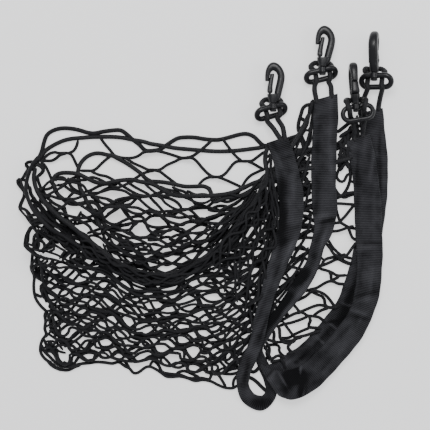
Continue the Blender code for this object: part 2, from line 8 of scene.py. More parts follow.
import bpy
import numpy as np
from mathutils import Matrix


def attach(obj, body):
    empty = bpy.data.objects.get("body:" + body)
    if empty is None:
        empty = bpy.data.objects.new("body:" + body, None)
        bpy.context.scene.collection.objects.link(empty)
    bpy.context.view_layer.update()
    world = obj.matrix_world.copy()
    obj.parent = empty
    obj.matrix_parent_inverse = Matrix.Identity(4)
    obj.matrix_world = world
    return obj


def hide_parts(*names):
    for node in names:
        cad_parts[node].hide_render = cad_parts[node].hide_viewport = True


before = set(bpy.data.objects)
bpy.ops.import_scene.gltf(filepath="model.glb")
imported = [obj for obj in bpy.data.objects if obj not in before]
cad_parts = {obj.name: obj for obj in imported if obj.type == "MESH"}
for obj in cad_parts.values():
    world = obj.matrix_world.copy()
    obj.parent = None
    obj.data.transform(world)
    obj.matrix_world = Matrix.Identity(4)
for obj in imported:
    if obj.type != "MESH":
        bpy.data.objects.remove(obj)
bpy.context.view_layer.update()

MM = 0.001
FOOTPRINT_MIDDLE = np.array([0.34, -0.89, 0.0])

# Curves and lengths
CURVE_STEPS = 12
STRAND_STEP = 2.3
LOOP_STEP = 1.6
TUBE_END = 0.55
ARC_STEPS = 7
FLOOR_CLEAR = 0.05
THIN_SIDES = 6
THICK_SIDES = 8

# Height grid that lengths are laid on, in cells of one millimetre
PILE_CORNER = (-215, -225)
PILE_SIZE = (430, 450)
CLIMB = 0.35  # rise per millimetre of run
REST_SHIFTS = (-0.6, 0.0, 0.6)  # of a radius to either side
REST_DROP = 0.3
REST_PASSES = 3

# Net: radii of its strands
STRAND_RADIUS = 1.55
OPEN_RADIUS = 1.8
OPEN_DRAWN = 0.97
GATHER_RADIUS = 1.35
TWIST_RADIUS = 1.95
SELVEDGE_RADIUS = 2.25
FRONT_SELVEDGE_RADIUS = 0.9 * SELVEDGE_RADIUS

# Net: its four layers and their lozenges
SLEEVE_HEIGHTS = {"B_outer": 2.2, "B_inner": 7.6, "A_inner": 10.4, "A_outer": 15.2}  # from the floor up
CROWDING = {"A_outer": 1.35, "A_inner": 1.1, "B_inner": 1.0, "B_outer": 1.0}
SIDE_POINTS = 60
EDGE_POINTS = 120
EDGE_GAP = 1.3
FOLD_INSET = 8.2
LAYER_ROWS = 18
LAYER_COLUMNS = 15
LEAST_DEPTH = 30.0
LEAST_WIDTH = 60.0
JUNCTION_HALF = 3.2
JUNCTION_ASIDE = 1.02  # of a strand's radius
STRAY = (0.06, 0.12)  # of a lozenge's width and height
WAVE_COUNT = 5
WAVE_LENGTHS = (34, 110)
WAVE_SIZE = 1.6
NET_SEED = 7
FOLD_BULGE = (0.6, 1.0)  # mean and spread, round the left fold
STRAND_SPREAD = (0.94, 1.06)
SLEEVE_FADE = 22.0  # run over which a generated strand comes to its sleeve's height
HAND_FADE = 20.0  # run over which a listed length comes to the height of its end
MEET_REACH = 16.0
SELVEDGE_END = 2.2  # height of the end
ELASTIC_END = 2.4

# Net: where the top layer's sagging edge draws the strands together
GATHER = 0.5
GATHER_REACH = 26.0
GATHER_FADE = 30
GATHER_LINE = np.array([
    (-135, -10), (-120, -20), (-100, -36), (-77, -52), (-55, -58), (-28, -55), (-5, -46), (17, -30), (40, -5),
])

# Net: strands drawn out between two guides
GATHER_CELL = 17.0
GATHER_DRIFT = (0.8, 1.6)
GATHER_DRIFT_SIZE = 0.25
GATHER_SWING = (0.5, 0.85)
GATHER_STRAY = (1.5, 4.0)
GATHER_STRAY_SIZE = 0.035
GATHER_LIMITS = (-0.06, 1.06)  # share of the way from one guide to the other
GATHER_ENDS = ((0, 0.1), (0.88, 1.0))  # share of the run where strands start and stop

# Cords
RIM_RADIUS = 2.25
ELASTIC_RADIUS = 2.15
LOOP_RADIUS = 2.6
RIM_PASSES = 4
RIM_SIDES = 12
LOOP_SIDES = 14
LOOP_TAIL = 7.0
CORD_LIFT = 5.4
HITCH_SIDE = 7.3
HITCH_TOP_SIDE = 7.4
HITCH_ALONG = 2.9
HITCH_LIFT = 0.78
HITCH_LOW = (9.3, 6.4, -4.2)  # side, along and up from the swivel point, as the next two are
HITCH_BEHIND = (6.6, 7.8, -8.6)
HITCH_MIDDLE = (0.0, 5.6, -9.6)

# Webbing
WEBBING_SHARP = 60
SLEEVE_STEPS = 11
RIB_PITCH = 1.7
YARN_PITCH = 0.9
SLEEVE_SIDES = 56
SLEEVE_POWER = 3.4
CALM_END = 9.0
WIDTH_WAVES = ((0.45, 7.3), (0.3, 3.1))  # size, pitch
THICKNESS_WAVES = ((0.05, 9.0), (0.04, 4.1))  # share, pitch
STITCH_INSET = 2.6
STITCH_WIDTH = 0.7
STITCH_DEPTH = 0.25
FOLD_LIMITS = (-0.9, 0.7)
SLIGHT_CREASES = 46
SLIGHT_LIMITS = [(0, 180), (5, 13), (1.3, 3.2), (-0.42, 0.42)]  # angle, half length, half width, height
MOUTH = ((0.0, 0.93, 0.3), (0.4, 0.80, 0.8), (2.5, 0.78, 3.0), (7.0, 0.74, 7.5))  # depth, shrink, run

# Swivel snap hook
EYE_SIZES = [  # half height, bar radius
    (5.9, 2.85), (5.9, 2.85), (6.6, 2.45), (6.1, 2.85),
]
EYE_HALF_LENGTH = 15.0
EYE_BEND_STEPS = 16
EYE_SIDES = 18
EYE_POWER = 2.1
LOWER_BAR = -4  # along the eye from the swivel point
RING_JUMP = 9  # least gap that the boss leaves in the ring
RING_CLEAR = 0.4  # past the bore's radius, as the next is
RING_END = 0.5
BOSS_RADIUS = 4.5
BOSS_HALF = 2.9
BOSS_SIDES = 40
BOSS_EDGE = 0.6
BORE_EDGE = 0.3
BORE_RADIUS = 2.9
PIN_RADIUS = 2.3
NECK_RADIUS = 4.2
HOOK_SIDES = 32
HOOK_STEPS = 6
GATE_SIDES = 24
GATE_STEPS = 5
BAR_POWER = 2.6
RIDGE = 0.12
RIDGE_SHARE = 0.16
PLASTIC_SHARP = 38

# Setting, in metres
FLOOR_SIZE = 8.0
FLOOR_GLOW = 0.8
LIGHTS = [  # name, size, power, place
    ("overhead", (0.9, 0.7), 17.0, (-0.05, 0.75, 1.6)),
    ("side", (0.5, 0.9), 4.0, (1.3, 0.2, 1.2)),
]
SKY_COLOUR = (0.95, 0.97, 1.0, 1.0)
SKY_STRENGTH = 0.42
CAMERA_LENS = 100.0
CAMERA_SENSOR = 36.0
CAMERA_PLACE = (0.01, 0.003, 1.204)

# Left fold of the net, top to bottom
LEFT_FOLD = [  # x, y
    (-177, 58), (-185, 46), (-188, 37), (-182, 25), (-187, 11), (-177, -4), (-179, -25), (-171, -37),
    (-174, -50), (-172, -65), (-163, -90), (-162, -116), (-164, -132), (-159, -142),
]
OUTER_TOP_Y = 58
INNER_TOP_Y = 32

# Top edges of the four layers, each from its webbing sleeve to the left fold. The first is the layer on
# top, whose edge sags deep.
TOP_FRONT_A = [  # x, y
    (62, 70), (60.3, 63.8), (59.8, 57.5), (60.4, 52), (62, 47), (60.8, 41.3), (58.7, 36.4), (56.6, 31.5),
    (54.5, 25.9), (52.4, 20.3), (48.2, 14.7), (44.6, 9.8), (40.4, 5.8), (35.9, 0.4), (32.7, -5.2),
    (29.2, -10.9), (24.3, -17.4), (18.7, -23.4), (13, -28.6), (6, -34.3), (-1, -39.4), (-9, -45),
    (-18, -50.5), (-28, -54.3), (-39, -56.2), (-55, -55.8), (-67, -53), (-78, -48.5), (-86, -44.3),
    (-93.8, -38.7), (-100.8, -33), (-107.8, -28.1), (-114.8, -22.5), (-121.8, -16.9), (-128.9, -10.6),
    (-135.9, -5), (-142.9, 0), (-149.2, 5.5), (-155.5, 11.2), (-161.1, 16.8), (-165.4, 23.1), (-168.2, 28.7),
    (-170.1, 34.3), (-170.8, 41.3), (-169.8, 48.5),
]
TOP_REAR_A = [  # x, y
    (104, 106), (95, 88), (85, 72), (73, 58), (59, 43), (40, 29), (23, 25), (7, 22), (-22, 22), (-45, 30),
    (-64, 38), (-89, 37), (-115, 42), (-133, 45), (-147, 42), (-160, 35),
]
TOP_FRONT_B = [  # x, y
    (135, 59), (120, 55), (95, 51), (70, 44), (50, 34), (30, 26), (7, 24), (-9, 31), (-41, 34), (-61, 39),
    (-75, 52), (-89, 60), (-105, 65), (-117, 61), (-127, 53), (-139, 45), (-152, 40), (-165, 36),
]
TOP_REAR_B = [  # x, y
    (150, 90), (143, 77), (130, 68), (105, 65), (80, 64), (57, 70), (47, 78), (33, 79), (15, 74), (-2, 76),
    (-19, 77), (-33, 73), (-45, 65), (-57, 64), (-73, 74), (-84, 82), (-97, 84), (-111, 82), (-129, 86),
    (-145, 86), (-155, 80), (-163, 68),
]

# Bottom of the pocket, from the sleeve to the left fold: the end near each sleeve, then the shared run
POCKET_END_A = [(27, -153), (17, -157), (4, -156)]
POCKET_END_B = [(72, -130), (62, -123), (53, -124), (45, -134), (36, -148), (26, -158), (17, -161), (4, -157)]
POCKET_RUN = [
    (-11, -156), (-26, -152), (-49, -147), (-62, -144), (-76, -148), (-89, -142), (-105, -142),
    (-124, -146), (-141, -148),
]
CORNER_A = (33, -145)

# Webbing sleeves: centre, width and thickness of each section, and the plan angle and tilt of its width
SLEEVE_A = [  # x, y, z, width, thick, across, tilt
    (71.5, 78, 15.4, 21, 4, 18, 0),
    (78, 61, 15.4, 22.5, 4, 16, 0),
    (82.5, 41, 15.4, 24, 4, 11, 0),
    (86, 18, 15.4, 25, 4.0, 2, 0),
    (85, -4, 15.4, 24, 4.0, -8, 0),
    (79, -27, 15.4, 22, 4.2, -16, 0),
    (71, -50, 15.4, 18, 4.6, -18, 0),
    (63, -74, 15.5, 15, 5.0, -16, 0),
    (56, -100, 15.8, 14, 5.2, -13, 0),
    (52, -120, 16.1, 14, 5.4, -14, 0),
    (45, -138, 15.8, 14, 5.4, -20, 0),
    (39, -153, 12.6, 13.5, 5.4, -12, 0),
    (38, -168, 6.8, 13, 5.4, 8, 0),
    (44, -181, 3.6, 14, 5.2, 42, 6),
    (57, -186, 3.6, 15, 5.2, 88, 8),
    (66, -177, 3.2, 13, 5.2, 140, 4),
    (65, -164, 2.8, 12, 5.2, 184, 0),
    (59.5, -150, 3, 11.5, 5.2, 192, 0),
    (55.5, -141, 4.6, 11, 5.2, 190, 0),
    (52.5, -131, 9.3, 11, 5.2, 175, 0),
    (58, -118, 10.2, 11.5, 5, 152, 0),
    (72.5, -97.5, 10.5, 12, 4.6, 143, 0),
    (86.5, -79.5, 10.6, 14, 4.2, 137, 0),
    (98.5, -62.5, 10.6, 16, 4.2, 144, 0),
    (107.5, -46, 10.6, 14, 4.4, 155, 0),
    (112, -29, 10.6, 14, 4.4, 163, 0),
    (118.5, -11, 10.6, 20, 4.2, 172, 0),
    (119.5, 13, 10.6, 25, 4.0, 179, 0),
    (118.5, 38, 10.6, 25, 4.0, 181, 0),
    (119, 68, 10.6, 25, 4.0, 179, 0),
    (120.5, 98, 10.6, 25, 4.0, 180, 0),
    (121, 121, 10.2, 24, 4.0, 196, 0),
]
SLEEVE_B = [  # x, y, z, width, thick, across, tilt
    (153, 80, 7.4, 25, 4.2, 18, 0),
    (157, 63, 7.4, 26, 4.2, 8, 0),
    (161, 38, 7.4, 26, 4.2, 4, 0),
    (163, 14, 7.4, 27, 4.4, 2, 0),
    (163.5, -10, 7.6, 27, 4.6, 1, 0),
    (165, -38, 7.9, 26, 5.0, -2, 0),
    (163, -70, 8.2, 25, 5.2, -10, 0),
    (157, -93, 8.6, 24, 5.4, -22, 0),
    (147, -112, 8.8, 25, 5.4, -33, 0),
    (131, -132, 9.0, 26, 5.4, -40, 0),
    (113, -151, 10.0, 26, 5.4, -46, 0),
    (101, -160, 12.2, 29, 5.2, -51, 0),
    (88, -165, 14.6, 32, 5.2, -56, 0),
    (77, -166, 15.8, 35, 5.2, -58, 0),
    (69, -163.4, 16.0, 36, 5.0, -58, 0),
    (65.5, -161.6, 12.7, 36, 5.0, -58, 0),
    (69, -163, 9.4, 36, 5.0, -58, 0),
    (78, -157.5, 9.0, 32, 5.0, -55, 0),
    (90, -148, 6.2, 28, 5.0, -50, 0),
    (103, -138, 3.2, 25, 5.0, -45, 0),
    (117, -124, 2.6, 25, 5.0, -42, 0),
    (132, -106, 2.6, 25, 5.0, -38, 0),
    (145, -87, 2.6, 25, 5.0, -30, 0),
    (154, -62, 2.5, 25, 4.8, -17, 0),
    (161, -37, 2.4, 25, 4.6, -12, 0),
    (166.5, -12, 2.3, 25, 4.4, -9, 0),
    (169, 8, 2.2, 25, 4.2, -6, 0),
    (171.5, 33, 2.2, 25, 4.2, -2, 0),
    (171, 63, 2.2, 25, 4.2, 3, 0),
    (168.5, 88, 2.2, 25, 4.2, 7, 0),
    (166.5, 108, 2.2, 25, 4.2, 12, 0),
]
# Sections of each sleeve whose left side holds the net, from the top of a layer down
SIDE_FRONT_A = range(0, 11)
SIDE_REAR_A = range(31, 18, -1)
SIDE_REAR_B = range(30, 18, -1)
SIDE_FRONT_B = range(1, 5)
SIDE_FRONT_B_LOW = range(24, 18, -1)

# Hooks: swivel point, lean of the swivel axis, roll of the hook about it, and shift and turns of the eye
HOOKS = [  # x, y, z, lean, hook_roll, eye_shift, eye_tilt, eye_roll, eye_pitch
    (68, 111.5, 12.3, -1, 0, -2.6, 16, 10, 42),
    (117.3, 148, 12.3, 1, 0, -2.4, 14, 0, 42),
    (149.6, 110.5, 20.8, -3.7, 90, 1.0, 9, 0, 0),
    (168.5, 142, 14.6, 1, -109, 1.6, -1, -20, 25),
]
# Cord loops: whether the legs go over the eye's lower bar (1) or under it (-1), and for each leg where it
# leaves its sleeve, a point on its way, where it crosses that bar and where it bulges beside the neck
LOOPS = [  # over, then for the left and the right leg: start, way, bar, bulge
    (1, ((73.4, 81.1, 15.4), (67.8, 89.6, 14.8), -6.6, (-11.2, 4.0, -5.4)),
     ((78.8, 82.7, 15.4), (77.2, 91, 14.6), 4.4, (9.0, 3.4, -7.2))),
    (1, ((110.8, 120.2, 10.2), (109.4, 127.5, 10.6), -8.2, (-11.6, 3.6, -5.4)),
     ((126.3, 124.95, 10.2), (125.8, 131.5, 10.6), 5.8, (10.2, 4.0, -6.8))),
    (-1, ((149.4, 81.7, 7.6), (149.2, 87, 10.6), -5.6, (-8.8, 4.6, 2.4)),
     ((158.0, 84.6, 7.6), (158.0, 89, 10.8), 6.2, (10.0, 5.6, 3.0))),
    (1, ((157.0, 109.4, 2.6), (158.8, 118.4, 5.6), -8.2, (-9.0, 5.4, -5.4)),
     ((174.6, 113.2, 3.4), (175.4, 121, 9.0), 6.8, (11.4, 5.0, -5.4))),
]

# Snap hook up from the swivel: sections across the axis
HOOK_STEM = [  # side, along, width, depth
    (0, -5.4, 4.6, 4.6),
    (0, -5.0, 6.4, 6.4),
    (0, -3.42, 6.8, 6.8),
    (0, -3.4, 2 * PIN_RADIUS, 2 * PIN_RADIUS),
    (0, 3.4, 2 * PIN_RADIUS, 2 * PIN_RADIUS),
    (0, 3.42, 2 * NECK_RADIUS, 2 * NECK_RADIUS),
    (0.4, 5.6, 9.4, 8.8),
    (1.1, 7.8, 12.8, 9.2),
    (1.3, 10.6, 14.0, 9.4),
    (1.4, 12.0, 14.4, 9.4),
    (4.9, 12.02, 7.4, 9.4),
]
# Snap hook's spine, crown and nose, along the middle of the bar
HOOK_BAR = [  # side, along, width, depth
    (4.9, 12.02, 7.4, 9.4),
    (5.9, 16.5, 7.6, 9.4),
    (7.2, 21.5, 7.7, 9.4),
    (8.4, 27.5, 7.5, 9.2),
    (8.3, 31.6, 7.3, 9.2),
    (6.7, 35.6, 7.5, 9.0),
    (3.7, 38.7, 8.3, 8.8),
    (0.4, 39.6, 8.6, 8.4),
    (-2.7, 37.4, 7.0, 8.0),
    (-4.5, 33.8, 5.5, 7.2),
    (-5.3, 29.8, 4.7, 6.6),
    (-5.7, 25.8, 4.0, 6.2),
]
NOSE_END = ((0.3, 0.94), (0.55, 0.82), (0.75, 0.6), (0.85, 0.3))  # back, scale
# Gate, from its rounded root at the pivot to its tip inside the nose
GATE_BAR = [  # side, along, width, depth
    (-3.0, 15.35, 5.8, 8.0),
    (-2.8, 19, 5.3, 7.8),
    (-2.2, 22.8, 4.9, 7.2),
    (-1.5, 26, 4.6, 6.8),
    (-0.8, 28.8, 4.2, 6.4),
    (-0.2, 31.8, 4.0, 5.8),
]
GATE_ROOT_TURNS = (-86, -74, -58, -42, -26, -12)
GATE_END = ((0.35, 0.85, 0.9), (0.5, 0.6, 0.7))  # on, width share, depth share
GATE_PIN = ((-0.3, 1.7), (0.05, 1.7), (0.3, 1.45), (0.35, 0.9))  # height over the gate's face, radius
GATE_PIN_SIDES = 18

# Bound edges of the front and the rear layers, and the elastic along the rear one. The last runs carry
# them on under the sleeves.
FRONT_SELVEDGE = [  # x, y
    (-165, 62), (-171, 54), (-174.5, 47), (-177.3, 40), (-178.7, 33), (-178.7, 27.3), (-176.6, 20.3),
    (-173.1, 12.6), (-168.9, 6.2), (-164, 0.6), (-159, -5), (-152.7, -10.6), (-145.7, -14.8), (-138.7, -19),
    (-131.7, -24), (-123.2, -29.8), (-110, -39), (-97, -48), (-83, -56.5), (-69, -61.5), (-53, -63.5),
    (-37, -62.6), (-21, -58.5), (-5, -51), (9, -41.5), (22, -30), (33, -17.5), (42, -4), (49.5, 9), (56, 22),
    (61, 34), (64, 45),
]
SELVEDGE_TOP = [  # x, y
    (-171.3, 54.9), (-167.6, 59.9), (-164.2, 67.3), (-162.2, 75.6), (-159.3, 83.1), (-153.5, 87.7),
    (-145.2, 90.1), (-136.1, 90.1), (-127, 88.5), (-118.6, 86), (-111.2, 85.2), (-102.9, 86.8), (-92.1, 88.2),
    (-84.6, 88.1), (-78.8, 84.3), (-73, 79), (-66.4, 74), (-60, 68), (-52.1, 67.7), (-45.2, 69), (-39.2, 73),
    (-34, 76.5), (-27.1, 80.3), (-18.5, 81.2), (-9.9, 80.9), (-1.3, 79.5), (8.2, 78.6), (15.1, 78.9),
    (24.6, 81.2), (34, 83.8), (41.8, 84.6), (48.7, 82.1), (53.8, 77.3), (57.3, 73.9), (65, 70),
]
ELASTIC_TOP = [  # x, y
    (-172, 52), (-167.6, 58.2), (-160.9, 67.3), (-152.6, 73.1), (-142.7, 77.7), (-133.6, 79.8),
    (-123.6, 80.6), (-113.7, 81.4), (-103.7, 81.6), (-92.9, 81.6), (-82.2, 80.6), (-72.2, 78.5),
    (-62.3, 76.9), (-54.7, 74.7), (-44.3, 73), (-30.5, 70.4), (-16.8, 69.1), (-3, 67.9), (10.8, 67),
    (24.6, 67.2), (36.6, 68.3), (47, 69.6), (57.3, 71.1), (67, 73.5),
]
SELVEDGE_RIGHT = [(80, 66), (105, 66), (130, 69), (142, 77), (150, 90)]
ELASTIC_RIGHT = [(80, 68), (105, 69), (128, 72), (140, 80), (148, 93)]

# Rim cord of the inner sheet: in front, then its slack bight at the left fold, back up and along the rear
INNER_RIM_FRONT_LEFT = [  # x, y
    (-152.6, 38), (-150.8, 42), (-146.8, 44.6), (-141, 45.4), (-133, 45), (-126, 43.6), (-118.6, 40),
    (-111.2, 36.4), (-102.9, 34.6), (-95, 35.2),
]
INNER_RIM_FRONT = [  # x, y
    (-88.8, 36.7), (-80.5, 37.9), (-72.2, 38.3), (-66.4, 36.7), (-53.8, 34.3), (-45.2, 30), (-36.6, 24.8),
    (-27.1, 22.2), (-13.3, 21.8), (-0.4, 21.8), (10.8, 22.6), (21.1, 23.9), (30.6, 26.5), (38.4, 30),
    (47, 34.3), (55.6, 37.7), (63, 43),
]
INNER_RIM_FRONT_RIGHT = [(75, 56), (86, 70), (96, 86), (104, 104)]
INNER_RIM_SLACK = [  # x, y
    (-151.3, 32.9), (-149.9, 27.3), (-147.1, 23.1), (-142.9, 19.6), (-138.7, 16.1), (-134.5, 14.3),
    (-128.9, 14), (-123.2, 14.7), (-118.3, 15.7), (-113.4, 16.1), (-108.5, 14), (-105.7, 9.8), (-104.3, 4.8),
    (-102.5, -0.1), (-101.5, -5), (-98.7, -9.9),
]
INNER_RIM_BACK = [  # x, y
    (-98.7, -9.9), (-101.5, -10.6), (-105, -7.8), (-107.1, -2.9), (-109.2, 2), (-112, 6.9), (-115.5, 11.9),
    (-118.3, 16.1), (-120.1, 20.3), (-122.5, 25.2), (-125.4, 30.1), (-126.8, 36.4), (-127.3, 41.3),
    (-127.5, 46.9), (-126.1, 52.6), (-123.2, 57.5), (-118.3, 62), (-111.3, 64.8), (-104.3, 64.8),
    (-97.3, 63.1),
]
INNER_RIM_REAR = [  # x, y
    (-92.9, 62.4), (-86.3, 59), (-78.8, 54.9), (-71.4, 49.9), (-64.7, 45), (-59.8, 40), (-55.6, 37.5),
    (-53.8, 36.8), (-42.6, 36), (-30.5, 33.8), (-20.2, 31.7), (-9, 31.7), (-1.3, 31.7), (3.9, 29.1),
    (6.5, 23.9), (9.1, 16.2),
]
INNER_RIM_REAR_RIGHT = [(20, 20), (35, 22), (52, 31), (70, 41), (95, 48), (120, 52), (135, 57), (146, 60)]

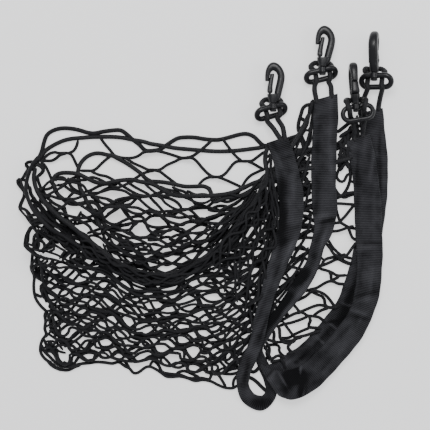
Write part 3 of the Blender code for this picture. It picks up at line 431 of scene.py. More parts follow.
# Strands seen one by one in the pocket's mouth
OPEN_STRANDS = [  # x, y
    [(-127.8, 78.1), (-129.4, 72.3), (-132.7, 67.3), (-138.5, 64.9)],
    [(-105.4, 81), (-100.4, 74), (-95.4, 68.2), (-91.3, 63.2), (-85.5, 61.1), (-78.8, 60.3), (-72.2, 60.7),
     (-67.2, 62.4), (-62.3, 65.7), (-58, 68.5)],
    [(-72.2, 39.2), (-68.1, 41.2), (-63.9, 44.1), (-57.3, 46.6), (-50, 47.9)],
    [(-82, 60.5), (-78, 59), (-72.2, 55.3), (-63.9, 51.6), (-56.4, 48.3), (-50, 48.7)],
    [(-63, 64.2), (-59.8, 66.1), (-51.2, 67.4), (-40.9, 65.7), (-30.5, 62.7), (-23.7, 60.5), (-16.8, 61),
     (-11.6, 62.7), (-5.6, 67), (0.5, 72.2), (7.5, 78.5)],
    [(-15, 60.2), (-23.7, 59.7), (-30.5, 56.7), (-38.3, 53.2), (-45.2, 48.5), (-52.1, 48), (-57.2, 48.5)],
    [(-52.1, 48), (-45.2, 46.3), (-39.2, 42), (-32.3, 36.8), (-26.5, 32.5)],
    [(-21, 60), (-13.3, 60.1), (-8.2, 56.7), (-3, 50.6), (3, 44.6), (8.2, 41.6), (15.1, 41.6), (20.3, 44.6),
     (24.6, 49.8), (28.9, 54.9), (33.2, 57.1), (40.1, 57.1), (47, 57.5), (52.1, 61), (60, 67)],
    [(17.5, 79.5), (22.9, 72.2), (28, 65.3), (33.2, 60.1), (37.5, 57)],
    [(42, 57), (47.8, 54.9), (55.6, 50.6), (60, 48.5)],
    [(-7, 32), (-5.6, 34.3), (-1.3, 38.6), (4.8, 41.1), (10, 40.5)],
    [(10, 41.5), (15.1, 40.3), (22, 37.7), (29.7, 34.3), (37.6, 30.5)],
    [(36, 29.5), (40.9, 37.7), (46.1, 42.9), (53.9, 46.8), (60.9, 49.5)],
    [(-165.6, 56.6), (-161.8, 60.3), (-159, 63.1), (-154.8, 65.5), (-149.9, 66.2), (-147.1, 65.2),
     (-138.7, 65.2), (-134.5, 63.8), (-131.7, 58.9), (-129.6, 54), (-127.5, 49.8)],
    [(-165.6, 56.6), (-162.5, 57.5), (-154.8, 57.5), (-149.9, 59.6), (-146.4, 62.4), (-142.9, 63.8),
     (-138, 64.8)],
    [(-164.6, 56.4), (-160.4, 52.6), (-157.6, 46.9), (-155.5, 41.3), (-153.4, 36.4)],
    [(-166.1, 54.7), (-161.8, 50.5), (-161.8, 46.9), (-164.6, 44.1), (-167.5, 41.3)],
    [(-166.1, 29.8), (-160.4, 28.7), (-155.5, 30.1), (-152.7, 31.5)],
    [(-167.5, 41.3), (-166.8, 36.4), (-164.6, 30.1), (-161.1, 24.5), (-156.9, 18.9), (-152, 14.7),
     (-146.4, 11.9), (-141.5, 9.8)],
    [(-149.9, 32.9), (-142.9, 33.6), (-139.4, 36.4), (-141.5, 39.9), (-145, 41), (-148.5, 39.9),
     (-150.6, 37.1)],
    [(-139.4, 37.1), (-134.5, 39.2), (-128.9, 42)],
    [(-137.3, 40.6), (-135.9, 35), (-133.8, 30.8), (-128.9, 27.3), (-123.9, 25.2)],
    [(-142.9, 33.6), (-137.3, 29.4), (-131.7, 25.9), (-125.4, 23.8), (-120.4, 20.3)],
    [(-138, 16.1), (-137.3, 19.6), (-134.5, 23.1), (-131, 25.2)],
    [(-126.1, 47.6), (-118.3, 47.6), (-113.4, 47.6), (-109.2, 49.8), (-104.3, 54.7), (-98.7, 59.6),
     (-94.5, 62.4)],
    [(-114.8, 46.9), (-106.4, 43.4), (-99.4, 42), (-93.8, 39.2), (-88.9, 36.4)],
    [(-126.1, 43.4), (-117.6, 39.2), (-110.6, 35.7), (-102.2, 34.3), (-93.8, 35), (-88.9, 35.7)],
    [(-121.8, 25.9), (-114.8, 28), (-107.8, 31.5), (-100.8, 33.6), (-93.8, 33.6)],
    [(-119.7, 23.1), (-109.2, 24.5), (-100.8, 28.7), (-93.8, 31.5), (-87.5, 34.3)],
    [(-110.6, 21.7), (-104.3, 20.3), (-97.3, 18.9), (-91.7, 16.1), (-87.5, 13.3)],
    [(-114.8, 21.7), (-106.4, 16.8), (-100.8, 13.3), (-96.6, 11.9), (-90.3, 12.6), (-85.4, 14), (-79.7, 17.5),
     (-75, 18.9)],
    [(-106.4, 9.1), (-97.3, 11.2), (-90.3, 11.9), (-83.2, 12.6), (-75, 13.3)],
    [(-102.2, -0.8), (-95.2, 4.8), (-88.9, 8.4), (-84.6, 11.9)],
    [(-84.6, 12.6), (-79.7, 6.2), (-75, 1.3)],
    [(-102.2, -5), (-97.3, -8.5), (-90.3, -9.9), (-83.2, -7.8), (-75, -6.4)],
    [(-100.8, -10.6), (-93.8, -12.7), (-85.4, -12), (-79.7, -12.7), (-75, -11.3)],
    [(-131, -6.4), (-121.8, -4.3), (-114.8, -2.9), (-109.2, -2.9)],
    [(-131.7, -6.4), (-128.9, -0.8), (-126.1, 3.4), (-124.6, 6.9)],
    [(-125.4, 4.8), (-119.7, 0.6), (-114.8, -1.5), (-110.6, -5), (-106.4, -8.5)],
    [(-119.7, 12.6), (-113.4, 4.8), (-110.6, 0.6), (-107.1, -5)],
    [(-111.3, 9.8), (-107.8, 4.8), (-105.7, -0.1), (-103.6, -5.7)],
    [(-141.5, 12.6), (-140.1, 6.2), (-138.7, 0.6), (-135.9, -3.6), (-130.3, -7.8)],
    [(-119, -15.5), (-114.8, -14.1), (-109.2, -12), (-103.6, -10.6)],
    [(-103.6, -10.6), (-97.3, -16.2), (-90.3, -20.4), (-83.2, -23.9), (-75, -27.4)],
    [(-99.4, -24.6), (-98, -22.5), (-94.5, -18.3), (-91, -14.8)],
    [(-103.6, -10.6), (-100.8, -19.7), (-97.3, -26), (-90.3, -29.5), (-83.2, -27.4), (-75, -26)],
    [(-95.2, -14.1), (-86.8, -16.2), (-81.1, -18.3), (-75, -20.4)],
    [(-170.3, 56.1), (-177.3, 56.1), (-180.1, 54), (-178, 49.8), (-180.8, 44.8), (-183.6, 39.9),
     (-185.7, 37.8), (-187.1, 36.4), (-185, 31.5), (-182.2, 27.3), (-180.1, 22.4), (-176.6, 16.1),
     (-172.4, 9.8), (-168.2, 4.1), (-163.9, -0.1)],
    [(-185.7, 38.5), (-180.8, 37.8), (-178.7, 34.3), (-177.3, 28.7)],
    [(-181.5, 25.9), (-182.2, 20.3), (-185, 14), (-185.7, 10.5), (-180.8, 8.4), (-177.3, 4.8), (-174.5, -0.1),
     (-171, -5.7), (-166.8, -10.6)],
    [(-175.2, 2.7), (-170.3, 3.4), (-167.5, 2.7), (-163.2, 0.6)],
    [(-173.8, -1.5), (-168.9, -1.5), (-164.6, -0.8), (-160.4, -2.2)],
    [(-171.7, -5), (-166.1, -4.3), (-161.8, -2.9), (-156.9, -5.7)],
    [(-171, -6.4), (-175.2, -12), (-177.3, -16.2), (-178, -22.5), (-179.4, -26.7), (-177.3, -30.2),
     (-173.1, -33.8), (-168.9, -37.3), (-163.9, -39.4), (-158.3, -41.5)],
    [(-171, -7.8), (-167.5, -14.8), (-161.8, -17.6), (-156.9, -20.4), (-152.7, -23.2), (-147.1, -25.3)],
    [(-167.5, -14.8), (-170.3, -18.3), (-171, -23.2), (-171.7, -27.4), (-168.9, -31.6)],
    [(-163.9, -17.6), (-166.8, -22.5), (-168.2, -26.7), (-166.8, -30.9)],
    [(-164.6, -22.5), (-161.1, -24.6), (-159.7, -28.8), (-161.8, -32.4), (-166.1, -32.4), (-168.9, -30.2)],
    [(-152.7, -22.5), (-154.8, -27.4), (-159, -31.6), (-161.8, -35.2)],
    [(-163.2, -10.6), (-156.9, -14.8), (-152.7, -17.6), (-147.8, -19), (-142.9, -20.4)],
    [(-161.8, -12.7), (-154.8, -9.2), (-149.9, -8.5)],
    [(-144.3, -19), (-139.4, -22.5), (-134.5, -22.5), (-130.3, -21.1)],
    [(-140.1, -21.8), (-135.9, -28.8), (-131.7, -33.1), (-127.5, -36.6)],
    [(-134.5, -20.4), (-130.3, -26.7), (-127.5, -33.1), (-125.4, -37.3)],
    [(-125.4, -19.7), (-124.6, -25.3), (-123.2, -30.2), (-119, -33.1)],
    [(-151.3, -17.6), (-145.7, -23.2), (-142.9, -27.4), (-137.3, -31.6), (-130.3, -34.5)],
    [(-117.6, -31.6), (-114.8, -28.1), (-110.6, -26)],
    [(-142.9, -42), (-140.1, -35.9), (-134.5, -33.8)],
    [(-135.9, -40.8), (-131.7, -35.9), (-127.5, -33.8)],
    [(-88.7, 36.1), (-81, 31.2), (-73.9, 26.9), (-66.9, 23.4), (-59.9, 22), (-55, 22)],
    [(-78.9, 36.8), (-71.8, 31.9), (-65.5, 28.4), (-59.9, 25.5), (-55, 22.7)],
    [(-55.7, 22), (-51.5, 23.4), (-45.9, 25.5), (-40.3, 26.2)],
    [(-53.6, 22), (-45.9, 22), (-40.3, 20.6), (-34.6, 19.2), (-29, 16.4), (-25.5, 12.9), (-23.4, 9.4)],
    [(-55.7, 22), (-51.5, 17.1), (-47.3, 12.9), (-43.1, 8), (-39.6, 3.8)],
    [(-97.8, 12.2), (-88, 14.3), (-81, 19.2), (-73.9, 19.9), (-66.9, 20.6), (-59.9, 21.3), (-55, 21.7)],
    [(-97.8, 18.5), (-90.8, 15), (-85.9, 12.9), (-81, 12.9), (-74.6, 13.6), (-71.1, 16.4), (-66.9, 20.6)],
    [(-85.9, 12.9), (-82.4, 10.1), (-78.9, 4.5), (-74.6, -0.4), (-70.4, -3.2), (-64.1, -3.2), (-59.9, -2.5),
     (-55.7, 1), (-51.5, 2.4), (-45.9, 2.4), (-38.9, 3.1), (-31.8, 3.1), (-27.6, 5.9), (-22, 8.7)],
    [(-83.1, 12.2), (-73.9, 10.8), (-66.9, 10.1), (-61.3, 7.3), (-56.4, 4.5), (-52.9, 2.4)],
    [(-97.1, 3.1), (-90.8, 7.3), (-84.5, 11.5)],
    [(-96.4, -10.2), (-89.4, -8.8), (-84.5, -7.4), (-77.5, -6), (-71.1, -4.6), (-65.5, -3.6)],
    [(-96.4, -11.6), (-88, -12.4), (-81, -12.4), (-74.6, -11.6), (-71.1, -7.4), (-66.2, -4.6)],
    [(-76.1, -11.6), (-71.8, -15.9), (-68.3, -19.4), (-62, -19.4), (-57.1, -18.7), (-51.5, -14.5),
     (-45.9, -10.9), (-40.3, -9.5)],
    [(-62, -3.2), (-57.8, -6.7), (-52.9, -8.8), (-45.9, -9.5), (-38.9, -8.8), (-31.8, -8.8)],
    [(-45.2, 2.4), (-39.6, -2.5), (-36.8, -6), (-33.2, -9.5)],
    [(-38.9, 3.1), (-33.2, 5.9), (-27.6, 8), (-22, 8.7), (-16.4, 8.7), (-10.8, 9.4), (-3.8, 10.1),
     (3.2, 10.1), (10.3, 8.7), (15, 8)],
    [(-40.3, 2.4), (-33.2, 1.7), (-26.2, 0.3), (-19.2, 1), (-12.2, 1.7), (-6.6, -1.1)],
    [(-17.1, 9.4), (-12.2, 5.9), (-8.7, 2.4), (-5.2, -1.1), (-1, -5.3), (4.6, -9.5)],
    [(-17.1, 21.3), (-12.2, 17.1), (-8.7, 12.9), (-4.5, 10.8), (1.1, 10.8), (5.4, 13.6), (9.6, 17.1)],
    [(-18.5, 27.6), (-14.3, 25.5), (-9.4, 23.4), (-3.8, 23.8), (3.2, 23.4)],
    [(-45.9, 31.9), (-39.6, 29.1), (-33.2, 27.6), (-26.2, 24.8), (-20.6, 22)],
    [(-33.2, 31.2), (-27.6, 28.4), (-22, 26.9), (-16.4, 23.4)],
    [(-31.8, -8.8), (-24.8, -6.7), (-17.8, -3.9), (-10.8, -2.5), (-3.8, -2.5), (3.2, -1.8), (10.3, 0.3),
     (15, 3.1)],
    [(-33.9, -9.5), (-26.2, -13.1), (-20.6, -14.5), (-14.3, -11.6), (-7.3, -7.4), (-1, -6)],
    [(-3.8, -2.5), (3.2, -4.6), (10.3, -6), (15, -6.7)],
    [(-57.1, -21.5), (-49.4, -16.6), (-44.5, -13.8), (-38.9, -13.1), (-31.8, -11.6)],
    [(-57.1, -22.2), (-47.3, -21.5), (-41.7, -19.4), (-34.6, -18.7)],
    [(-36.1, -20.8), (-27.6, -16.9), (-20.6, -17.3), (-15.7, -20.4), (-21.3, -23), (-28.3, -23),
     (-36.1, -20.8)],
    [(-88, -16.6), (-81, -22.9), (-75.4, -26.4), (-68.3, -28.5)],
    [(-97.8, -17.3), (-90.8, -19.4), (-85.9, -22.2), (-81.7, -25.7), (-73.9, -29.2)],
    [(-97.8, -25.7), (-89.4, -28.5), (-83.8, -27.8), (-78.2, -25.7)],
    [(-86.6, -29.9), (-79.6, -32.4), (-72.5, -29.2)],
    [(4.6, 31.5), (6.1, 25.9), (7.5, 20.3), (8.2, 16.1)],
    [(8.9, 18.5), (16.6, 19.6), (23.6, 21.7), (29.9, 23.8), (35.5, 26.6)],
    [(8.2, 16.8), (15.2, 17.5), (21.5, 16.1), (27.1, 17.5), (32.7, 20.3), (38.3, 23.1), (44.6, 24.5),
     (50.3, 26.6)],
    [(22.9, 11.2), (30.6, 14), (36.9, 18.9), (43.2, 22.4), (50.3, 24.5)],
    [(6.1, 9.1), (13.1, 11.9), (20.1, 11.9), (25.7, 9.8), (33.4, 9.8), (38.3, 12.6)],
    [(2.5, 8.4), (9.6, 6.9), (16.6, 7.6), (24.3, 8.4), (29.9, 6.9)],
    [(-5.9, -0.1), (1.1, -0.8), (8.2, 0.6), (15.2, 2.7), (22.2, 4.8), (29.9, 6.2)],
    [(-2.4, -2.9), (6.1, -5), (13.1, -5.7), (20.1, -5), (24.3, -2.2), (29.9, 2.7)],
    [(63.6, 50.5), (63.6, 43.4), (62.2, 37.8), (59.4, 31.5), (55.9, 25.9), (52.4, 19.6), (48.2, 13.3),
     (43.9, 8.4), (39.7, 2.7)],
    [(52.4, 6.2), (53.8, 11.9), (57.3, 16.1), (61.5, 19.6)],
    [(53.1, 5.5), (58, 8.4), (62.2, 11.9), (63.6, 16.8)],
]
# Strands seen one by one between the two sleeves
SIDE_STRANDS = [  # x, y
    [(115, -51), (123, -53), (128, -55), (132, -57.5), (136, -58), (143, -57.5)],
    [(124, -53.5), (126.5, -57), (127, -62), (132, -60.5), (135, -58.5)],
    [(101, -74), (106, -72), (112, -70.5), (117, -67.5), (123, -64), (128, -63.5), (134, -66), (141, -66.5)],
    [(108, -53), (115, -49), (125, -45), (133, -41.5), (139, -44), (146, -47)],
    [(111, -52), (117, -47), (120, -42), (128, -39.5), (135, -39), (141, -36)],
    [(91, -84), (96, -81.5), (101, -79), (105, -75.5), (108, -73)],
    [(106, -73.5), (112, -76.5), (117, -78.5), (120, -82), (120.5, -86), (122.5, -89), (127, -90),
     (133, -88)],
    [(108, -72.5), (115, -74), (121, -77.5), (126, -83), (130, -88), (136, -88)],
    [(93, -95.5), (97, -94), (103, -91.5), (109, -89), (115, -87.5), (121, -88.5), (125, -90), (133, -89)],
    [(108, -99), (111, -96.5), (114, -94), (119, -91.5), (124, -90)],
    [(88, -86), (92, -90.5), (95, -94), (99, -95.5), (103, -98), (109, -98.5), (115, -100), (120, -104),
     (125, -106)],
    [(74, -105), (79, -102), (85, -98.5), (91, -95.5), (97, -94.5)],
    [(74, -109), (79, -107), (86, -105.5), (93, -103), (99, -100.5), (103.5, -98)],
    [(103.5, -98.5), (105.5, -102), (104, -106), (104, -109), (108, -110), (113, -110.5), (121, -113)],
    [(105, -109.5), (99, -112), (94, -114.5), (89, -117), (85, -120), (79, -121), (75, -120.5)],
    [(78, -104), (81, -108), (84, -112), (87, -116), (89, -118.5)],
    [(88, -119.5), (95, -118.5), (101, -117.5), (106, -116), (115, -113)],
    [(68, -105), (72, -108), (74.5, -110.5), (75, -116), (75.5, -121), (80, -123)],
    [(63, -110), (68, -113), (69.5, -117), (69, -122), (71, -124.5)],
    [(60, -121), (65, -122.5), (70, -124), (75, -124), (81, -123), (87, -122), (92, -120), (97, -119)],
    [(75, -122), (80, -124.5), (85, -124), (90, -122)],
    [(86, -124), (82.5, -127), (83, -130), (86, -133), (90, -135)],
    [(81, -135), (87, -133), (91, -131), (97, -129.5), (105, -128)],
    [(59, -132), (63, -128.5), (68, -127.5), (73, -128), (75, -131), (74.5, -134), (78, -138), (81, -140),
     (85, -141)],
    [(58, -122), (62.5, -126), (64.5, -131), (64, -137), (61, -143)],
    [(61, -134), (63, -139), (67, -142), (71, -147), (77, -151)],
    [(59, -127), (61.5, -132), (65, -139), (69, -145), (71, -152)],
    [(63, -142), (69, -139.5), (73, -137.5), (78, -140), (83, -143), (88, -144)],
    [(65, -144), (70, -143), (75, -142.5), (80, -145), (85, -148)],
    [(67, -148), (72, -145.5), (77, -148), (82, -152)],
    [(75, -140), (78, -144), (80, -150), (83, -154)],
    [(144, 68), (140.5, 60), (137, 54), (133.5, 46), (132.5, 42), (134, 38.5), (137, 36.5), (140, 37.5),
     (142, 41.5), (144, 44), (150, 45)],
    [(136, 61), (141, 58), (144, 54), (145.5, 48), (146, 40), (144, 32), (141, 26.5), (137, 22), (130, 19)],
    [(128, 34), (131.5, 28), (135, 23), (140, 20.5), (145, 22.5), (152, 24.5)],
    [(127, 24), (133, 22), (138, 23), (144, 25), (152, 26)],
    [(126, 14), (132, 14.5), (137, 14.5), (143, 14), (151, 13.5)],
    [(130, 17), (131.5, 12), (132, 8), (133.5, 3), (135, -1.5), (136, -5)],
    [(151, 15), (148, 11), (145, 7), (141, 2), (137, -2), (133, -6)],
    [(123, -6), (129, -5.5), (135, -4.5), (140, -7), (145, -9.5), (153, -11)],
    [(123, -14.5), (128, -13.5), (133, -13), (138, -11.5), (143, -9.5), (149, -8)],
    [(143, -9), (145, -14), (148, -20), (154, -23)],
    [(121, -19), (125, -24), (128, -29), (132, -33.5), (136, -37), (141, -39), (148, -41)],
    [(119, -22), (123, -27), (126, -31), (129, -36), (132, -38), (136, -40.5), (140, -43.5), (147, -46)],
    [(152, -24), (149, -28), (146, -32), (143, -36), (139, -39), (134, -41)],
]
# Strands that turn round the left fold, beside the rim cords
FOLD_STRANDS = [  # x, y
    [(-171, 57), (-177, 56.5), (-180, 54.5), (-179.3, 51.5), (-176.5, 49.5), (-173, 52), (-170, 53)],
    [(-176, 50), (-179, 46), (-182, 42), (-184, 39), (-187.3, 39), (-188.3, 36.5), (-187, 33), (-184, 29.5),
     (-181, 25), (-182.5, 20), (-185, 15), (-186, 10), (-183, 6), (-179, 2), (-176, -2), (-172, -7)],
    [(-184.5, 39), (-183.5, 34), (-182, 30), (-180, 26), (-177.5, 21), (-175, 15), (-171, 8), (-166, 1),
     (-160, -4)],
    [(-186, 10), (-182, 9.5), (-179, 8), (-177, 5), (-175, 1), (-173, -3), (-171.5, -8)],
    [(-175, 2), (-171, 2.5), (-167, 3), (-163, 6)],
    [(-175, -1), (-170, -2), (-165, -1), (-160, 0)],
    [(-172, -6), (-168, -3.5), (-162, -2.5), (-157, -2)],
    [(-171, -8), (-167, -6.5), (-161, -5), (-155, -4)],
    [(-172, -8), (-169, -11), (-165, -14), (-161, -17), (-156, -21), (-151, -26), (-145, -30), (-138, -34)],
    [(-172, -8), (-175, -13), (-177.5, -18), (-178.5, -23), (-179.3, -27), (-177, -30), (-174, -33),
     (-171, -36), (-168, -39), (-170, -42), (-173, -46), (-174.5, -50), (-173, -55), (-170, -59),
     (-164, -63)],
    [(-179, -26.5), (-174, -26), (-170, -28), (-169, -25), (-170.5, -21), (-168, -17), (-165, -14)],
    [(-168, -31), (-168.5, -27), (-167, -23), (-164.5, -21), (-162, -22), (-160, -26), (-160, -30),
     (-162, -33)],
    [(-165, -14), (-166, -19), (-164.5, -23), (-164.5, -28), (-166.5, -32)],
    [(-179, -28), (-175, -29.5), (-171, -30.5), (-166, -32), (-160, -32), (-155, -34), (-148, -36.5),
     (-140, -41), (-132, -46)],
    [(-177, -30), (-172, -33), (-168, -36.5), (-163, -38.5), (-157, -40), (-150, -41.5), (-143, -44)],
    [(-162, -32), (-159, -29), (-155, -25), (-152, -21), (-147, -18)],
    [(-166, -11), (-162, -13.5), (-156, -17), (-150, -20), (-144, -24), (-136, -28)],
    [(-161, -12), (-157, -9), (-153, -6)],
    [(-164, -8), (-159, -12), (-155, -15)],
    [(-160, -32), (-156, -31), (-153, -30), (-150, -27), (-151, -23)],
    [(-155, -29), (-152, -27), (-149, -30), (-152, -32.5), (-156, -34)],
    [(-145, -41), (-142, -36), (-139, -32)],
    [(-143, -44), (-139, -39), (-134, -35), (-128, -34)],
    [(-139, -44), (-132, -41), (-125, -39)],
    [(-169, 53), (-165, 51.5), (-162, 48), (-165, 44), (-168, 41), (-167, 36)],
    [(-167, 29.5), (-160, 29), (-154, 31), (-151, 35)],
    [(-166, 27), (-161, 22), (-156, 18), (-150, 14), (-144, 10)],
    [(-155, 19), (-155, 14), (-152, 11), (-146, 8)],
    [(-174, 18), (-168, 16.5), (-164, 12), (-161, 8), (-157, 3), (-152, -2), (-146, -6)],
    [(-167, 6), (-162, 2), (-156, -3), (-149, -8), (-141, -13)],
    [(-147, 6), (-145, 1), (-142, -4), (-139, -10)],
    [(-151, -13), (-147, -17), (-143, -21), (-138, -22), (-133, -20)],
    [(-139, -28), (-136, -24), (-132, -21)],
    [(-160, -93), (-154, -93.5), (-147, -95), (-139, -98), (-130, -101)],
    [(-160, -97), (-155, -102), (-149, -106), (-145, -112), (-147, -120)],
    [(-160.5, -105), (-155, -100), (-149, -97), (-142, -95)],
    [(-161, -110), (-156, -107), (-151, -105), (-145, -102), (-136, -100)],
    [(-159.5, -115), (-154, -119), (-148, -123), (-142, -127), (-134, -129)],
    [(-160, -120), (-156, -115), (-151, -111), (-147, -106), (-142, -101)],
    [(-160.5, -124), (-153, -124), (-148, -127), (-143, -133)],
    [(-163, -132), (-158, -128), (-152, -129), (-147, -134), (-140, -136)],
]
# Thicker strands, bunched where the net is drawn together: beside both sleeves, in sleeve A's turn and
# at the left fold
TWIST_STRANDS = [  # x, y
    [(111, 114), (107, 114), (102, 113.5), (98.5, 110.5), (97, 106), (95.5, 101), (94, 95), (93.8, 89),
     (96, 84), (99, 78), (101, 72)],
    [(109, 119), (106, 113), (105, 106), (103.5, 100), (102.5, 94.5), (99.5, 89), (96.5, 84.5), (92, 81),
     (86, 77), (81, 74)],
    [(96, 101), (98, 99.5), (101, 98), (104, 99)],
    [(95, 88), (97, 90.5), (99.5, 93.5), (101, 97)],
    [(110, 118), (109, 110), (108.5, 102), (107, 94), (106, 86), (105.5, 78), (102, 72), (98, 66)],
    [(81, 78.5), (87, 81), (92, 82.5), (96, 86)],
    [(81, 71), (87, 72.5), (92, 75.5), (96, 78), (100, 75), (106, 74)],
    [(96, 81), (98, 75), (99, 69), (98, 63), (96, 57)],
    [(85, 67), (90, 64.5), (95, 66), (101, 67), (107, 68)],
    [(85, 58), (89, 59.5), (94, 64), (98, 65)],
    [(87, 63), (91, 56), (96, 58), (102, 61)],
    [(88, 51), (93, 54), (99, 53), (106, 50)],
    [(91, 48), (96, 43), (100, 39), (104, 33)],
    [(104, 46), (99, 42), (95, 37), (92, 31)],
    [(40, -148), (44, -153), (49, -155), (54, -151), (58, -145)],
    [(38, -160), (46, -161), (52, -165), (58, -171), (66, -178)],
    [(133, 86), (138, 90), (143, 94), (147, 98)],
    [(135, 81), (139, 84), (144, 87), (148, 90)],
    [(133.5, 77), (137, 72), (136, 66), (135, 60), (132.5, 55)],
    [(139, 82), (141, 77), (138, 71), (140, 65), (137, 59), (133.5, 51)],
    [(144.5, 85), (143, 79), (145, 72), (142, 66), (143, 60), (140, 55), (135, 47)],
    [(134, 73), (140, 70), (145, 68), (149, 66)],
    [(133, 64), (139, 62), (145, 59)],
    [(140, 59), (142, 54), (145.5, 49)],
    [(86, 71), (92, 67), (97, 65), (103, 67)],
    [(87, 65), (91, 59), (96, 56), (103, 57)],
    [(89, 60), (94, 53), (98, 48), (104, 49)],
    [(91, 52), (95, 46), (99, 42), (104, 37)],
    [(99, 55), (100, 48), (98, 41), (93, 34)],
    [(95, 32), (100, 34), (106, 37)],
    [(95, 27), (100, 25), (106, 28)],
    [(96, 22), (101, 23), (107, 26)],
    [(97, 14), (102, 16), (108, 19)],
    [(95, 7), (101, 8.5), (108, 12)],
    [(95, 4), (101, 1), (106, -1), (111, -4)],
    [(96, -6), (102, -1), (107, 5)],
    [(93, -9), (101, -7), (107, -8), (112, -13)],
    [(-175, 19), (-167, 12), (-161, 4), (-153, -3), (-145, -11), (-137, -18), (-129, -26), (-120, -33)],
    [(-172, 14), (-167, 6), (-159, -1), (-155, -9), (-147, -15), (-141, -23), (-131, -29), (-123, -38)],
    [(-167, 19), (-159, 12), (-155, 4), (-147, -1), (-141, -9), (-132, -14), (-125, -22), (-114, -29)],
    [(-165, 22), (-159, 15), (-151, 9), (-145, 1), (-136, -4), (-129, -12), (-119, -18), (-111, -28)],
    [(-169, 7), (-161, 2), (-155, -5), (-145, -8), (-137, -13), (-127, -18), (-116, -26)],
    [(-164, -3), (-155, -8), (-149, -14), (-139, -18), (-133, -24), (-125, -28), (-116, -35)],
    [(-161, 7), (-153, 1), (-149, -6), (-139, -10), (-135, -18), (-125, -22), (-118, -31)],
    [(-159, -10), (-149, -17), (-143, -22), (-137, -30), (-128, -36)],
    [(-145, 12), (-139, 4), (-141, -3), (-135, -9), (-127, -15)],
    [(-176, 32), (-175, 24), (-171, 18), (-168, 11)],
    [(143, 94), (147, 96), (152, 97), (156, 99)],
    [(144, 87), (148, 89.5), (152, 91), (156, 93.5)],
    [(145, 81.5), (149, 83.5), (153, 86), (156, 88)],
    [(145, 76), (150, 78.5), (154, 81), (156, 82.5)],
    [(150, 100), (152, 94), (153, 87), (154, 80), (153, 74)],
]
# Strands along the net's outline, down the left fold and along the pocket's bottom
EDGE_STRANDS = [  # x, y
    [(-159, -4), (-165, -13), (-169, -22), (-173, -32), (-174, -40), (-174.5, -50), (-172, -59),
     (-172.5, -67), (-172, -75), (-170, -82), (-165, -89), (-160, -94), (-158, -100)],
    [(-165, -37), (-169, -44), (-170, -52), (-168, -58)],
    [(-167, -44), (-163, -52), (-159, -59), (-160, -67), (-160, -76), (-160, -85)],
    [(-160, -94), (-161.5, -98), (-160.5, -104), (-161.5, -111), (-160, -117), (-163.5, -122), (-165.5, -128),
     (-165.7, -134), (-163.5, -139), (-159, -143.5), (-154, -146)],
    [(-171, -76), (-166, -79), (-161, -78)],
    [(-162, -122), (-159, -129), (-153, -132)],
    [(-165, -132), (-160, -134), (-155, -132)],
    [(-157, -127), (-150, -134), (-147, -142), (-139, -149)],
    [(-159, -143), (-155, -148), (-149, -151.5), (-143, -153.5)],
    [(-167, -22), (-161, -18), (-155, -20)],
    [(-165, -127), (-162, -134), (-157, -139), (-151, -145), (-145, -149), (-139, -149.5), (-133, -148.5),
     (-125, -146.5), (-117, -146), (-109, -145), (-101, -145.5), (-93, -146.5), (-87, -145), (-81, -149),
     (-76, -151.5), (-72, -156), (-67, -155.5), (-61, -151), (-56, -149.5), (-50, -152), (-44, -156),
     (-39, -159.5), (-33, -160), (-25, -159.5), (-17, -161.5), (-10, -164), (-2, -163), (6, -164.5),
     (13, -168), (20, -170.8), (28, -171.2), (33, -168)],
    [(-155, -146), (-149, -151), (-143, -153), (-137, -153), (-131, -150), (-125, -148)],
    [(-87, -145), (-82, -143.5), (-78, -148), (-76, -152)],
    [(-56, -149), (-52, -144), (-47, -148), (-43, -155), (-35, -157), (-25, -158), (-15, -161.5), (-5, -161),
     (5, -163)],
    [(-29, -156), (-21, -154), (-13, -157), (-5, -161)],
    [(4, -163), (8, -155), (13, -157), (17, -163), (21, -170)],
    [(28, -170), (29, -163), (33, -158)],
    [(0, -155), (8, -154), (17, -156), (27, -157), (35, -155)],
]

